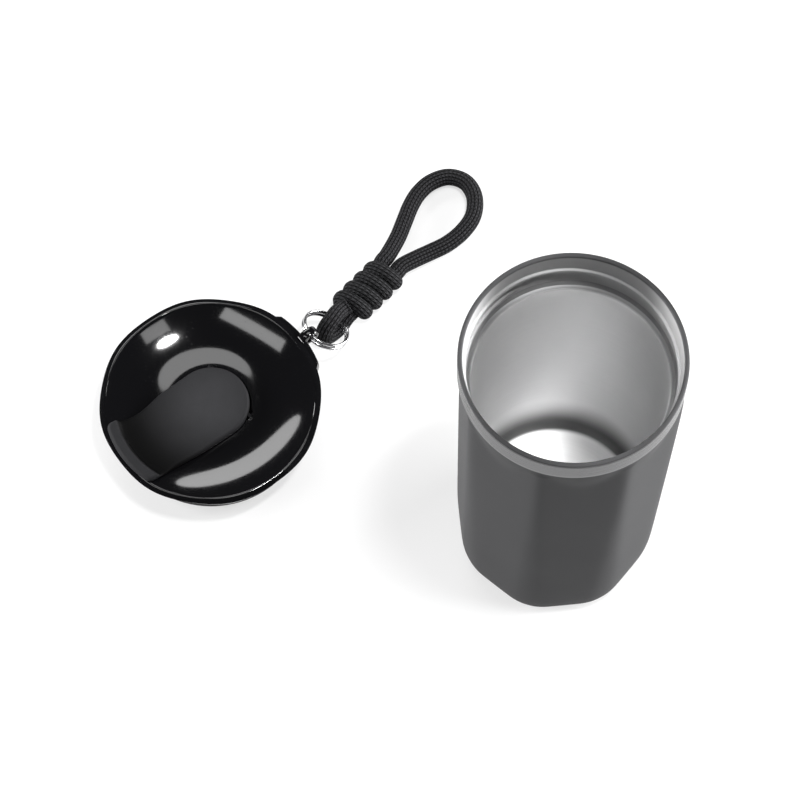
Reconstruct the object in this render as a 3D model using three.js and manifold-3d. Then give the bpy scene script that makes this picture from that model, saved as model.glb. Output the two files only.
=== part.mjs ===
import * as THREE from "three";
import { mergeVertices } from "three/addons/utils/BufferGeometryUtils.js";
import Module from "manifold-3d";

// Sizes in millimetres. Z is up, the origin is the middle of the mug's base, the lid lies beside the mug.

// Clearances and walls
const FIT_GAP = 0.3;
const SHELL_WALL = 0.6;
const LINER_WALL = 0.6;
const MOULDED_WALL = 2;

// Mug body
const MUG_HEIGHT = 166;
const RIM_RADIUS = 40;
const BAND_HEIGHT = 10.5;
const RUNOUT_HEIGHT = 15.5;
const FACET_DEPTH = 2.3;
const FACET_TAPER = 0.9;
const CORNER_TAPER = 2.6;
const BASE_FILLET = 6;
const BASE_LAND = 3.9;
const FACET_DIRECTION = THREE.MathUtils.degToRad(-84.3);
const LIP_DEPTH = 1.2;
const LIP_ROUND = 0.4;

// Inner liner
const FLOOR_HEIGHT = 18.4;
const FLOOR_CORNER = 5.4;
const VACUUM_GAP = 1.5;
const NECK_GAP = 0.5;
const LEDGE_ABOVE_FACETS = 6.3;
const LEDGE_WIDTH = 1.6;
const LEDGE_DROP = 1.4;
const NECK_RISE = 1.7;
const THREAD_BEAD = 0.9;
const THREAD_PITCH = 6;
const THREAD_TURNS = 1.4;
const THREAD_RISE = 4.2;
const THREAD_ANGLE = THREE.MathUtils.degToRad(115);

// Pieces in the vacuum space and under it
const FOIL_THICKNESS = 0.25;
const FOIL_MARGIN = 6.9;
const CLOSURE_HEIGHT = 10;
const CLOSURE_THICKNESS = 0.8;
const PORT_RADIUS = 0.8;
const DIMPLE_RADIUS = 4;
const DIMPLE_RISE = 1.4;
const BEAD_RADIUS = 2.4;
const BEAD_HEIGHT = 1.3;
const GETTER_RADIUS = 4.5;
const GETTER_HEIGHT = 2.2;
const GETTER_OFFSET = 15;
const BASE_PLATE_THICKNESS = 1.6;
const BASE_PLATE_FLANGE = 2;

// Lid, in its own frame: Z is its axis, X points at the lanyard lug, Z = 0 is the table
const LID_TURN = THREE.MathUtils.degToRad(36.6);
const LID_OVERHANG = 0.4;
const LID_FLARE = 2.5;
const LID_CORNER = 0.55;
const PLUG_DEPTH = 14;
const LID_DEPTH = 8;
const LID_BEVEL = 1.6;
const LID_BEVEL_DROP = 2;
const LID_SKIRT_WALL = 2.4;
const LID_RIM_WIDTH = 2.3;
const BOWL_DEPTH = 5.8;
const BOWL_FLAT_RADIUS = 17;
const BOWL_POWER = 1.7;
const HOLLOW_DROP = 4.6;
const HOLLOW_INSET = 7.6;

// Lanyard lug on the lid
const BOSS_REACH = 2.1;
const BOSS_HALF_WIDTH = 15;
const BOSS_RISE = 2;
const BOSS_DROP = 0.8;
const BOSS_ROUND = 1;
const LUG_REACH = 4.6;
const LUG_DROP = 2.5;
const LUG_RADIUS = 3.6;
const LUG_HALF_WIDTH = 1.9;
const LUG_HOLE_RADIUS = 2.3;

// Plug, plate and seal under the lid
const PLUG_GAP = 0.65;
const PLUG_WALL = 2.3;
const PLUG_CHAMFER = 0.8;
const GROOVE_DEPTH = 1.2;
const GROOVE_BOTTOM = 2;
const GROOVE_HEIGHT = 3;
const SEAL_REACH = 1.1;
const SEAL_LAND = 0.3;
const PLUG_THREAD_START = 7.6;
const PLUG_THREAD_TURNS = 0.95;
const PLATE_HEIGHT = 1.2;
const PLATE_THICKNESS = 1.6;

// Drinking hole, vent and flip cover
const SIP_MARGIN = 0.3;
const SIP_RADIUS = 5;
const SIP_TUBE_WALL = 1.4;
const VENT_OFFSET = 16;
const VENT_RADIUS = 1.5;
const STOPPER_GAP = 0.8;
const STOPPER_TAPER = 0.4;
const STOPPER_REACH = 1.6;
const VENT_STOPPER_GAP = 0.5;
const VENT_STOPPER_REACH = 1.4;
const FLIP_LIFT = 0.5;
const FLIP_THICKNESS = 2.8;
const FLIP_HALF_WIDTH = 15.1;
const FLIP_END_HALF_WIDTH = 14.6;
const FLIP_INSET = 1.3;
const FLIP_LIP_THICKNESS = 1.7;
const HINGE_X = 9;
const HINGE_RISE = 0.6;
const PIN_RADIUS = 1;
const PIN_HALF_LENGTH = 13.8;
const BARREL_RADIUS = 2.6;
const BARREL_HALF_LENGTH = 8;
const POCKET_GAP = 0.5;
const POCKET_HALF_LENGTH = 12.6;
const POCKET_WALL = 1.6;

// Split ring, in the lid's frame
const RING_RADIUS = 9.2;
const RING_WIRE_RADIUS = 0.65;
const RING_PITCH = 1.75;
const RING_HALF_TURNS = 0.97;

// Lanyard: a braided cord with a winding of compressed cord
const CORD_RADIUS = 3.4;
const WRAP_RADIUS = 2.3;
const CORE_RADIUS = 1.9;
const WRAP_GAP = 0.6;
const WRAP_TURNS = 3.57;
const WRAP_BEND = 2.5;
const WRAP_TAIL = 1.2;
const KNOT_TURN = THREE.MathUtils.degToRad(46.8);

// Places chosen by hand: the hole of the lid's lug, the middle of the knot and the cord's routes
const LUG_PLACE = [-95.3, 71.2];
const KNOT_PLACE = [-72.5, 95.8, 7];
// Route of the bight through the split ring, from the knot's upper strand to its lower one.
const BIGHT_ROUTE = [
  [-82.2, 86.4, 12.9],
  [-83.5, 85.1, 13.5],
  [-84.9, 82.8, 14.6],
  [-86.7, 79.8, 15.1],
  [-88.9, 77, 13.1],
  [-89.8, 75.8, 9.2],
  [-88.8, 76.7, 5.4],
  [-86.2, 79.1, 3.6],
  [-83.6, 81.3, 3.8],
  [-81.7, 83.2, 4.9],
  [-80.3, 84.6, 5.5],
];

// Route of the loop, from the knot's left leg round to its right one.
const LOOP_ROUTE = [
  [-66.5, 108.9, 6.9],
  [-65.4, 110.3, 6.6],
  [-62.9, 115.4, 5],
  [-60.4, 121, 3.8],
  [-58, 127.6, 3.5],
  [-55.2, 135.1, 3.5],
  [-52.1, 140.6, 3.5],
  [-47, 145.5, 3.5],
  [-39.9, 147.9, 3.5],
  [-33.3, 145.7, 3.5],
  [-29.6, 139.5, 3.5],
  [-30, 130.8, 3.5],
  [-34, 124, 3.5],
  [-40.5, 118.1, 3.5],
  [-47.4, 114.2, 3.8],
  [-53.5, 110.6, 5],
  [-59.2, 106.6, 6.4],
  [-61.3, 103.9, 6.6],
];

// Facets of the curved pieces
const MUG_SEGMENTS = 48;
const LID_SEGMENTS = 48;
const SMALL_SEGMENTS = 16;
const ARC_STEPS = 5;
const BEAD_STEPS = 4;
const POCKET_STEPS = 12;
const THREAD_SIDES = 6;
const WIRE_SIDES = 8;
const WIRE_STEPS = 60;
const CORE_SIDES = 12;
const CORD_SIDES = 10;
const CORD_STEP = 3.4;
const WRAP_SIDES = 6;
const WRAP_STEPS = 96;
const GAP_SAMPLES = 400;
const OCTAGON = 8;

const wasm = await Module();
wasm.setup();

// A closed geometry as a solid that faces outwards.
function solid(geometry) {
  const plain = new THREE.BufferGeometry();
  plain.setAttribute("position", geometry.getAttribute("position"));
  plain.setIndex(geometry.index);
  const merged = mergeVertices(plain, 1e-4);
  const index = merged.index.array;
  const kept = [];
  for (let i = 0; i < index.length; i += 3) {
    const [a, b, c] = [index[i], index[i + 1], index[i + 2]];
    if (a !== b && b !== c && a !== c) kept.push(a, b, c);
  }
  const make = (triangles) =>
    new wasm.Manifold(
      new wasm.Mesh({
        numProp: 3,
        vertProperties: new Float32Array(merged.getAttribute("position").array),
        triVerts: new Uint32Array(triangles),
      }),
    );
  const made = make(kept);
  return made.volume() > 0 ? made : make(kept.reverse());
}

// A solid as a geometry for a mesh.
function geometryOf(made) {
  const mesh = made.getMesh();
  const geometry = new THREE.BufferGeometry();
  geometry.setAttribute("position", new THREE.BufferAttribute(mesh.vertProperties, 3));
  geometry.setIndex(new THREE.BufferAttribute(mesh.triVerts, 1));
  geometry.computeVertexNormals();
  return geometry;
}

// A profile of [radius, height] points turned about Z.
function turned(profile, segments, startAngle = 0) {
  const points = profile.map(([radius, height]) => new THREE.Vector2(radius, height));
  const geometry = new THREE.LatheGeometry(points, segments, startAngle + Math.PI / 2);
  return solid(geometry.rotateX(Math.PI / 2));
}

// The points of a closed ring profile, ending where it starts.
const closed = (profile) => [...profile, profile[0]];

// Corner radius of the octagon whose flats lie at the given distance.
const cornerOf = (inradius) => inradius / Math.cos(Math.PI / OCTAGON);

// A quarter arc of [radius, height] points about a centre, between two angles.
function arc(centreRadius, centreHeight, size, from, to, steps = ARC_STEPS) {
  return Array.from({ length: steps + 1 }, (_, i) => {
    const angle = from + ((to - from) * i) / steps;
    return [centreRadius + size * Math.cos(angle), centreHeight + size * Math.sin(angle)];
  });
}

// A round rod along Z, or along Y when it lies.
function rod(radius, topRadius, bottom, top, x, y, segments = SMALL_SEGMENTS) {
  const geometry = new THREE.CylinderGeometry(topRadius, radius, top - bottom, segments);
  geometry.rotateX(Math.PI / 2);
  return solid(geometry.translate(x, y, (bottom + top) / 2));
}
function lyingRod(radius, halfLength, x, height, segments = SMALL_SEGMENTS) {
  const geometry = new THREE.CylinderGeometry(radius, radius, 2 * halfLength, segments);
  return solid(geometry.translate(x, 0, height));
}

// A tube of the given radius along a curve.
function tube(curve, radius, sides, steps) {
  const section = new THREE.Shape();
  for (let i = 0; i < sides; i += 1) {
    const angle = (2 * Math.PI * i) / sides;
    const point = [radius * Math.cos(angle), radius * Math.sin(angle)];
    if (i === 0) section.moveTo(...point);
    else section.lineTo(...point);
  }
  section.closePath();
  const geometry = new THREE.ExtrudeGeometry(section, { steps, bevelEnabled: false, extrudePath: curve });
  return solid(geometry);
}

// A curve from a formula of the share travelled.
class FormulaCurve extends THREE.Curve {
  constructor(formula) {
    super();
    this.formula = formula;
  }
  getPoint(share, target = new THREE.Vector3()) {
    return target.copy(this.formula(share));
  }
}

// A rounded bead that winds about Z, for screw threads.
function bead(radius, start, turns, startAngle) {
  const curve = new FormulaCurve((share) => {
    const angle = startAngle + 2 * Math.PI * turns * share;
    const height = start + THREAD_PITCH * turns * share;
    return new THREE.Vector3(radius * Math.cos(angle), radius * Math.sin(angle), height);
  });
  return tube(curve, THREAD_BEAD, THREAD_SIDES, Math.round((MUG_SEGMENTS / 2) * turns));
}

// Outline of the mug
const bandBottom = MUG_HEIGHT - BAND_HEIGHT;
const facetTop = bandBottom - RUNOUT_HEIGHT;
const shellTop = MUG_HEIGHT - LIP_DEPTH - FIT_GAP;
const beyond = MUG_HEIGHT + BAND_HEIGHT;
const facetTopInradius = RIM_RADIUS - FACET_DEPTH;
const facetBaseInradius = facetTopInradius - FACET_TAPER;
const cornerBaseRadius = RIM_RADIUS - CORNER_TAPER;
const baseHoleRadius = cornerBaseRadius - BASE_FILLET - BASE_LAND;

// Outline of the liner, inside the flats of the body and its round neck
const linerTopRadius = facetTopInradius - SHELL_WALL - VACUUM_GAP - LINER_WALL;
const linerBaseRadius = facetBaseInradius - SHELL_WALL - VACUUM_GAP - LINER_WALL;
const floorFlatRadius = linerBaseRadius - FLOOR_CORNER;
const ledgeHeight = facetTop + LEDGE_ABOVE_FACETS;
const ledgeRadius = linerTopRadius + LEDGE_WIDTH;
const neckBottom = ledgeHeight + NECK_RISE;
const neckTopRadius = RIM_RADIUS - SHELL_WALL - NECK_GAP - LINER_WALL;
const flareRadius = facetTopInradius + (FACET_DEPTH * (neckBottom - facetTop)) / RUNOUT_HEIGHT;
const neckBaseRadius = flareRadius - SHELL_WALL - FIT_GAP - LINER_WALL;
const threadRadius = (neckBaseRadius + neckTopRadius) / 2;
const linerWallBottom = FLOOR_HEIGHT + FLOOR_CORNER;
const linerWallTop = ledgeHeight - LEDGE_DROP;
const foilBottom = linerWallBottom + FOIL_MARGIN;
const foilTop = linerWallTop - FOIL_MARGIN;

// Outline of the lid, which covers the mug's rim and screws into its neck
const lidFootRadius = RIM_RADIUS + LID_OVERHANG;
const lidInradius = lidFootRadius + LID_FLARE;
const lidCornerRadius = lidInradius + LID_CORNER;
const lidTop = PLUG_DEPTH + LID_DEPTH;
const lidEdgeHeight = lidTop - LID_BEVEL_DROP;
const bowlFloor = lidTop - BOWL_DEPTH;
const bowlRadius = lidInradius - LID_RIM_WIDTH;
const hollowCeiling = lidTop - HOLLOW_DROP;
const hollowRadius = bowlRadius - HOLLOW_INSET;
const bossRadius = lidInradius + BOSS_REACH;
const bossBottom = PLUG_DEPTH + BOSS_RISE;
const bossTop = lidTop - BOSS_DROP;
const lugX = lidInradius + LUG_REACH;
const lugHeight = lidTop - LUG_DROP;
const hingeHeight = bowlFloor + HINGE_RISE;
const flipReach = lidInradius - FLIP_INSET;
const plugRadius = threadRadius - THREAD_BEAD - PLUG_GAP;
const plugInnerRadius = plugRadius - PLUG_WALL;
const plugTop = hollowCeiling - FIT_GAP;
const sipX = SIP_RADIUS + SIP_TUBE_WALL + FIT_GAP + SIP_MARGIN - plugInnerRadius;
const ventX = sipX + VENT_OFFSET;
const grooveRadius = plugRadius - GROOVE_DEPTH;
const grooveTop = GROOVE_BOTTOM + GROOVE_HEIGHT;
const sealLandRadius = plugRadius + SEAL_LAND;
const sealRadius = plugRadius + SEAL_REACH;

// The octagon that trims the round body, its flats moved in by the given amount.
function bodyOctagon(inset) {
  const slope = (facetTopInradius - facetBaseInradius) / facetTop;
  const below = -BASE_FILLET;
  const profile = [
    [0, below],
    [cornerOf(facetBaseInradius + slope * below - inset), below],
    [cornerOf(facetTopInradius - inset), facetTop],
    [cornerOf(facetTopInradius - inset), bandBottom],
    [0, bandBottom],
  ];
  return turned(profile, OCTAGON, FACET_DIRECTION + Math.PI / OCTAGON);
}

// The body up to a height: round corners, flat sides and a round neck, moved in by the given amount.
function bodySolid(inset, top) {
  const centre = cornerBaseRadius - BASE_FILLET;
  const skin = RIM_RADIUS - inset;
  const sides = [
    [0, inset],
    ...arc(centre, BASE_FILLET, BASE_FILLET - inset, -Math.PI / 2, 0),
    [skin, facetTop],
    [skin, bandBottom],
    [0, bandBottom],
  ];
  const neck = [
    [0, facetTop],
    [facetTopInradius - inset, facetTop],
    [skin, bandBottom],
    [skin, top],
    [0, top],
  ];
  return turned(sides, MUG_SEGMENTS).intersect(bodyOctagon(inset)).add(turned(neck, MUG_SEGMENTS));
}

function outerShell() {
  const hole = rod(baseHoleRadius, baseHoleRadius, -BASE_FILLET, BASE_FILLET, 0, 0, MUG_SEGMENTS);
  return bodySolid(0, shellTop).subtract(bodySolid(SHELL_WALL, beyond)).subtract(hole);
}

// Outside of the liner's wall at a height.
function linerOutside(height) {
  const share = (height - linerWallBottom) / (linerWallTop - linerWallBottom);
  return linerBaseRadius + (linerTopRadius - linerBaseRadius) * share + LINER_WALL;
}

function innerLiner() {
  const neckTop = MUG_HEIGHT - LIP_ROUND;
  const lipBottom = MUG_HEIGHT - LIP_DEPTH;
  const outer = FLOOR_CORNER + LINER_WALL;
  const profile = [
    [0, FLOOR_HEIGHT],
    ...arc(floorFlatRadius, linerWallBottom, FLOOR_CORNER, -Math.PI / 2, 0),
    [linerTopRadius, linerWallTop],
    [ledgeRadius, ledgeHeight],
    [neckBaseRadius, neckBottom],
    [neckTopRadius, neckTop],
    [neckTopRadius + LIP_ROUND, MUG_HEIGHT],
    [RIM_RADIUS - LIP_ROUND, MUG_HEIGHT],
    [RIM_RADIUS, MUG_HEIGHT - LIP_ROUND],
    [RIM_RADIUS, lipBottom],
    [neckTopRadius + LINER_WALL, lipBottom],
    [neckBaseRadius + LINER_WALL, neckBottom],
    [ledgeRadius + LINER_WALL, ledgeHeight - LINER_WALL],
    [linerTopRadius + LINER_WALL, linerWallTop - LINER_WALL],
    ...arc(floorFlatRadius, linerWallBottom, outer, 0, -Math.PI / 2),
    [0, FLOOR_HEIGHT - LINER_WALL],
  ];
  const keep = [
    [0, neckBottom],
    [neckBaseRadius + LINER_WALL / 2, neckBottom],
    [neckTopRadius + LINER_WALL / 2, neckTop],
    [0, neckTop],
  ];
  const winding = bead(threadRadius, ledgeHeight + THREAD_RISE, THREAD_TURNS, THREAD_ANGLE);
  const thread = winding.intersect(turned(keep, MUG_SEGMENTS));
  return turned(profile, MUG_SEGMENTS).add(thread);
}

function radiationFoil() {
  const low = linerOutside(foilBottom) + FIT_GAP;
  const high = linerOutside(foilTop) + FIT_GAP;
  const profile = [
    [low, foilBottom],
    [low + FOIL_THICKNESS, foilBottom],
    [high + FOIL_THICKNESS, foilTop],
    [high, foilTop],
  ];
  return turned(closed(profile), MUG_SEGMENTS);
}

function vacuumClosure() {
  const top = CLOSURE_HEIGHT + CLOSURE_THICKNESS;
  const reach = cornerBaseRadius - SHELL_WALL - FIT_GAP;
  const profile = [
    [PORT_RADIUS, CLOSURE_HEIGHT + DIMPLE_RISE],
    [DIMPLE_RADIUS - CLOSURE_THICKNESS, CLOSURE_HEIGHT + DIMPLE_RISE],
    [DIMPLE_RADIUS, CLOSURE_HEIGHT],
    [reach, CLOSURE_HEIGHT],
    [reach, top],
    [DIMPLE_RADIUS + CLOSURE_THICKNESS / 2, top],
    [DIMPLE_RADIUS - CLOSURE_THICKNESS / 2, top + DIMPLE_RISE],
    [PORT_RADIUS, top + DIMPLE_RISE],
  ];
  return turned(closed(profile), MUG_SEGMENTS).intersect(bodyOctagon(SHELL_WALL + FIT_GAP));
}

function sealBead() {
  const top = CLOSURE_HEIGHT + DIMPLE_RISE - FIT_GAP;
  const profile = [[0, top - BEAD_HEIGHT], ...arc(0, top, BEAD_RADIUS, -Math.PI / 3, 0, BEAD_STEPS), [0, top]];
  return turned(profile, SMALL_SEGMENTS);
}

function getter() {
  const bottom = CLOSURE_HEIGHT + CLOSURE_THICKNESS + FIT_GAP;
  return rod(GETTER_RADIUS, GETTER_RADIUS, bottom, bottom + GETTER_HEIGHT, GETTER_OFFSET, 0);
}

function basePlate() {
  const neck = baseHoleRadius - FIT_GAP;
  const flange = neck + BASE_PLATE_FLANGE;
  const flangeBottom = SHELL_WALL + FIT_GAP;
  const profile = [
    [0, 0],
    [neck, 0],
    [neck, flangeBottom],
    [flange, flangeBottom],
    [flange, BASE_PLATE_THICKNESS],
    [0, BASE_PLATE_THICKNESS],
  ];
  return turned(profile, MUG_SEGMENTS);
}

// Height of the lid's dished top at a radius.
function bowlHeight(radius) {
  const share = Math.max(0, radius - BOWL_FLAT_RADIUS) / (bowlRadius - BOWL_FLAT_RADIUS);
  return bowlFloor + (lidTop - bowlFloor) * share ** BOWL_POWER;
}

// Points along the dished top, raised by the given amount, from the middle outwards.
function bowlPoints(raise, reach = bowlRadius) {
  const rim = Array.from({ length: ARC_STEPS }, (_, i) => {
    const radius = BOWL_FLAT_RADIUS + ((reach - BOWL_FLAT_RADIUS) * (i + 1)) / ARC_STEPS;
    return [radius, bowlHeight(radius) + raise];
  });
  return [[0, bowlFloor + raise], [BOWL_FLAT_RADIUS, bowlFloor + raise], ...rim];
}

// Everything above the dished top, raised by the given amount.
function aboveBowl(raise) {
  const sky = lidTop + lidInradius;
  return turned([...bowlPoints(raise), [bowlRadius, sky], [0, sky]], LID_SEGMENTS);
}

// The lid's outside: round and flared to its widest edge, with eight flats on it.
function lidBlank() {
  const round = [
    [0, PLUG_DEPTH],
    [lidFootRadius + LID_CORNER, PLUG_DEPTH],
    [lidCornerRadius, lidEdgeHeight],
    [lidCornerRadius - LID_BEVEL, lidTop],
    [0, lidTop],
  ];
  const flats = [
    [0, PLUG_DEPTH],
    [cornerOf(lidFootRadius), PLUG_DEPTH],
    [cornerOf(lidInradius), lidEdgeHeight],
    [cornerOf(lidInradius - LID_BEVEL), lidTop],
    [0, lidTop],
  ];
  return turned(round, LID_SEGMENTS).intersect(turned(flats, OCTAGON, Math.PI / OCTAGON));
}

function lidBoss() {
  const profile = [
    [0, bossBottom],
    [bossRadius - BOSS_ROUND, bossBottom],
    [bossRadius, bossBottom + BOSS_ROUND],
    [bossRadius, bossTop - BOSS_ROUND],
    [bossRadius - BOSS_ROUND, bossTop],
    [0, bossTop],
  ];
  const depth = bossRadius - bowlRadius;
  const box = new THREE.BoxGeometry(2 * depth, 2 * BOSS_HALF_WIDTH, lidTop * 2);
  return turned(profile, LID_SEGMENTS).intersect(solid(box.translate(bossRadius, 0, 0)));
}

function lanyardLug() {
  const root = lidFootRadius;
  const side = new THREE.Shape();
  side.moveTo(root, lugHeight - LUG_RADIUS);
  side.absarc(lugX, lugHeight, LUG_RADIUS, -Math.PI / 2, Math.PI / 2);
  side.lineTo(root, lugHeight + LUG_RADIUS / 2);
  side.closePath();
  const plate = new THREE.ExtrudeGeometry(side, {
    depth: 2 * LUG_HALF_WIDTH,
    bevelEnabled: false,
    curveSegments: SMALL_SEGMENTS,
  });
  return solid(plate.rotateX(Math.PI / 2).translate(0, LUG_HALF_WIDTH, 0));
}

// The space that the flip cover's round end sweeps about its hinge, widened by the given amount.
function hingePocket(grow) {
  const rise = FLIP_LIFT + FLIP_THICKNESS - HINGE_RISE;
  const reach = POCKET_HALF_LENGTH + grow;
  const profile = Array.from({ length: POCKET_STEPS + 1 }, (_, i) => {
    const across = POCKET_HALF_LENGTH * ((2 * i) / POCKET_STEPS - 1);
    const ahead = Math.max(0, Math.sqrt(FLIP_HALF_WIDTH ** 2 - across ** 2) - HINGE_X);
    return [Math.hypot(ahead, rise) + POCKET_GAP + grow, (across * reach) / POCKET_HALF_LENGTH];
  });
  const swept = turned([[0, -reach], ...profile, [0, reach]], LID_SEGMENTS);
  return swept.rotate([90, 0, 0]).translate([HINGE_X, 0, hingeHeight]);
}

function lidShell() {
  const inner = lidFootRadius - LID_SKIRT_WALL;
  const middle = (BOWL_FLAT_RADIUS + hollowRadius) / 2;
  const hollow = turned(
    [
      [0, 0],
      [inner, 0],
      [inner, hollowCeiling],
      [hollowRadius, hollowCeiling],
      [middle, bowlHeight(middle) - MOULDED_WALL],
      [BOWL_FLAT_RADIUS, bowlFloor - MOULDED_WALL],
      [0, bowlFloor - MOULDED_WALL],
    ],
    LID_SEGMENTS,
  );
  const block = hingePocket(POCKET_WALL);
  const tubeOuter = SIP_RADIUS + SIP_TUBE_WALL;
  const tubeBottom = PLATE_HEIGHT + PLATE_THICKNESS + FIT_GAP;
  const sipTube = rod(tubeOuter, tubeOuter, tubeBottom, bowlFloor + MOULDED_WALL, sipX, 0);
  const pinHoleLength = POCKET_HALF_LENGTH + 2 * POCKET_WALL;
  return lidBlank()
    .add(lidBoss())
    .add(lanyardLug())
    .subtract(hollow)
    .add(block)
    .add(sipTube)
    .subtract(aboveBowl(0))
    .subtract(hingePocket(0))
    .subtract(lyingRod(PIN_RADIUS + FIT_GAP, pinHoleLength, HINGE_X, hingeHeight))
    .subtract(rod(SIP_RADIUS, SIP_RADIUS, 0, lidTop, sipX, 0))
    .subtract(rod(VENT_RADIUS, VENT_RADIUS, 0, lidTop, ventX, 0))
    .subtract(lyingRod(LUG_HOLE_RADIUS, LUG_RADIUS, lugX, lugHeight));
}

function lidPlug() {
  const collar = lidFootRadius - LID_SKIRT_WALL - FIT_GAP;
  const profile = [
    [plugInnerRadius, 0],
    [plugRadius - PLUG_CHAMFER, 0],
    [plugRadius, PLUG_CHAMFER],
    [plugRadius, GROOVE_BOTTOM],
    [grooveRadius, GROOVE_BOTTOM],
    [grooveRadius, grooveTop],
    [plugRadius, grooveTop],
    [plugRadius, PLUG_DEPTH],
    [collar, PLUG_DEPTH],
    [collar, plugTop],
    [plugInnerRadius, plugTop],
  ];
  const limit = (plugRadius + plugInnerRadius) / 2;
  const core = rod(limit, limit, 0, plugTop, 0, 0, LID_SEGMENTS);
  const thread = bead(plugRadius, PLUG_THREAD_START, PLUG_THREAD_TURNS, 0).subtract(core);
  return turned(closed(profile), LID_SEGMENTS).add(thread);
}

function lidPlate() {
  const top = PLATE_HEIGHT + PLATE_THICKNESS;
  const reach = plugInnerRadius - FIT_GAP;
  const disc = rod(reach, reach, PLATE_HEIGHT, top, 0, 0, LID_SEGMENTS);
  return disc
    .subtract(rod(SIP_RADIUS, SIP_RADIUS, 0, lidTop, sipX, 0))
    .subtract(rod(VENT_RADIUS, VENT_RADIUS, 0, lidTop, ventX, 0));
}

function lidSeal() {
  const bottom = GROOVE_BOTTOM + FIT_GAP;
  const top = grooveTop - FIT_GAP;
  const inner = grooveRadius + FIT_GAP;
  const profile = [
    [inner, bottom],
    [sealLandRadius, bottom],
    [sealRadius, (bottom + top) / 2],
    [sealLandRadius, top],
    [inner, top],
  ];
  return turned(closed(profile), LID_SEGMENTS);
}

function flipCover() {
  const lipBottom = lidTop + FLIP_LIFT;
  const under = bowlPoints(FLIP_LIFT);
  const over = bowlPoints(FLIP_LIFT + FLIP_THICKNESS).reverse();
  const sheet = turned(
    [...under, [flipReach, lipBottom], [flipReach, lipBottom + FLIP_LIP_THICKNESS], ...over],
    LID_SEGMENTS,
  );
  const reach = -flipReach - FLIP_LIFT;
  const plan = new THREE.Shape();
  plan.moveTo(reach, -FLIP_END_HALF_WIDTH);
  plan.lineTo(0, -FLIP_HALF_WIDTH);
  plan.absarc(0, 0, FLIP_HALF_WIDTH, -Math.PI / 2, Math.PI / 2);
  plan.lineTo(reach, FLIP_END_HALF_WIDTH);
  plan.closePath();
  const block = new THREE.ExtrudeGeometry(plan, {
    depth: lidTop + lidInradius,
    bevelEnabled: false,
    curveSegments: SMALL_SEGMENTS,
  });
  return sheet
    .intersect(solid(block))
    .add(lyingRod(BARREL_RADIUS, BARREL_HALF_LENGTH, HINGE_X, hingeHeight))
    .subtract(lyingRod(PIN_RADIUS + FIT_GAP, FLIP_HALF_WIDTH, HINGE_X, hingeHeight));
}

const flipPin = () => lyingRod(PIN_RADIUS, PIN_HALF_LENGTH, HINGE_X, hingeHeight);

// A silicone stopper that ends just under the flip cover.
function stopper(radius, taper, reach, x) {
  const blank = rod(radius - taper, radius, bowlFloor - reach, lidTop, x, 0);
  return blank.subtract(aboveBowl(FLIP_LIFT - FIT_GAP));
}

// Directions of the split ring in the lid's frame: from lug to the bight's eye, sideways, and its axis.
const eyeHeight = (BIGHT_ROUTE[0][2] + BIGHT_ROUTE.at(-1)[2]) / 2;
const ringTilt = Math.asin((lugHeight - eyeHeight) / (2 * RING_RADIUS));
const ringOut = new THREE.Vector3(Math.cos(ringTilt), 0, -Math.sin(ringTilt));
const ringSide = new THREE.Vector3(0, 1, 0);
const ringAxis = new THREE.Vector3(Math.sin(ringTilt), 0, Math.cos(ringTilt));
const ringCentre = new THREE.Vector3(lugX, 0, lugHeight).addScaledVector(ringOut, RING_RADIUS);

function splitRing() {
  const curve = new FormulaCurve((share) => {
    const turn = RING_HALF_TURNS * (2 * share - 1);
    const angle = 2 * Math.PI * turn;
    return ringCentre
      .clone()
      .addScaledVector(ringOut, RING_RADIUS * Math.cos(angle))
      .addScaledVector(ringSide, RING_RADIUS * Math.sin(angle))
      .addScaledVector(ringAxis, RING_PITCH * turn);
  });
  return tube(curve, RING_WIRE_RADIUS, WIRE_SIDES, WIRE_STEPS);
}

// The knot's own frame: its axis lies level, towards the loop.
const knotAlong = new THREE.Vector3(Math.cos(KNOT_TURN), Math.sin(KNOT_TURN), 0);
const knotSide = new THREE.Vector3(-Math.sin(KNOT_TURN), Math.cos(KNOT_TURN), 0);
const knotUp = new THREE.Vector3(0, 0, 1);
const knotCentre = new THREE.Vector3(...KNOT_PLACE);
const windRadius = CORE_RADIUS + FIT_GAP + WRAP_RADIUS;
const windPitch = 2 * WRAP_RADIUS + WRAP_GAP;
const knotHalf = (WRAP_TURNS * windPitch) / 2 + WRAP_BEND + WRAP_TAIL;

// The winding: straight along the knot, round a bend into the turns, and out again the same way.
const knotCurve = new FormulaCurve((share) => {
  const bend = (WRAP_BEND * Math.PI) / 2;
  const round = 2 * Math.PI * windRadius * WRAP_TURNS;
  const total = 2 * WRAP_TAIL + 2 * bend + round;
  const from = share <= 0.5 ? share * total : (1 - share) * total;
  const half = round / 2 + WRAP_BEND;
  let along = -knotHalf + Math.min(from, WRAP_TAIL);
  let across = -half;
  if (from > WRAP_TAIL) {
    const angle = Math.min((from - WRAP_TAIL) / WRAP_BEND, Math.PI / 2);
    along = -knotHalf + WRAP_TAIL + WRAP_BEND * Math.sin(angle);
    across = -half + WRAP_BEND * (1 - Math.cos(angle));
  }
  if (from > WRAP_TAIL + bend) {
    const run = from - WRAP_TAIL - bend;
    along += (run * WRAP_TURNS * windPitch) / round;
    across += run;
  }
  const sign = share <= 0.5 ? 1 : -1;
  const angle = (sign * across + half) / windRadius;
  return knotCentre
    .clone()
    .addScaledVector(knotAlong, sign * along)
    .addScaledVector(knotSide, -windRadius * Math.sin(angle))
    .addScaledVector(knotUp, windRadius * Math.cos(angle));
});
const lanyardKnot = () => tube(knotCurve, WRAP_RADIUS, WRAP_SIDES, WRAP_STEPS);

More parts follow.
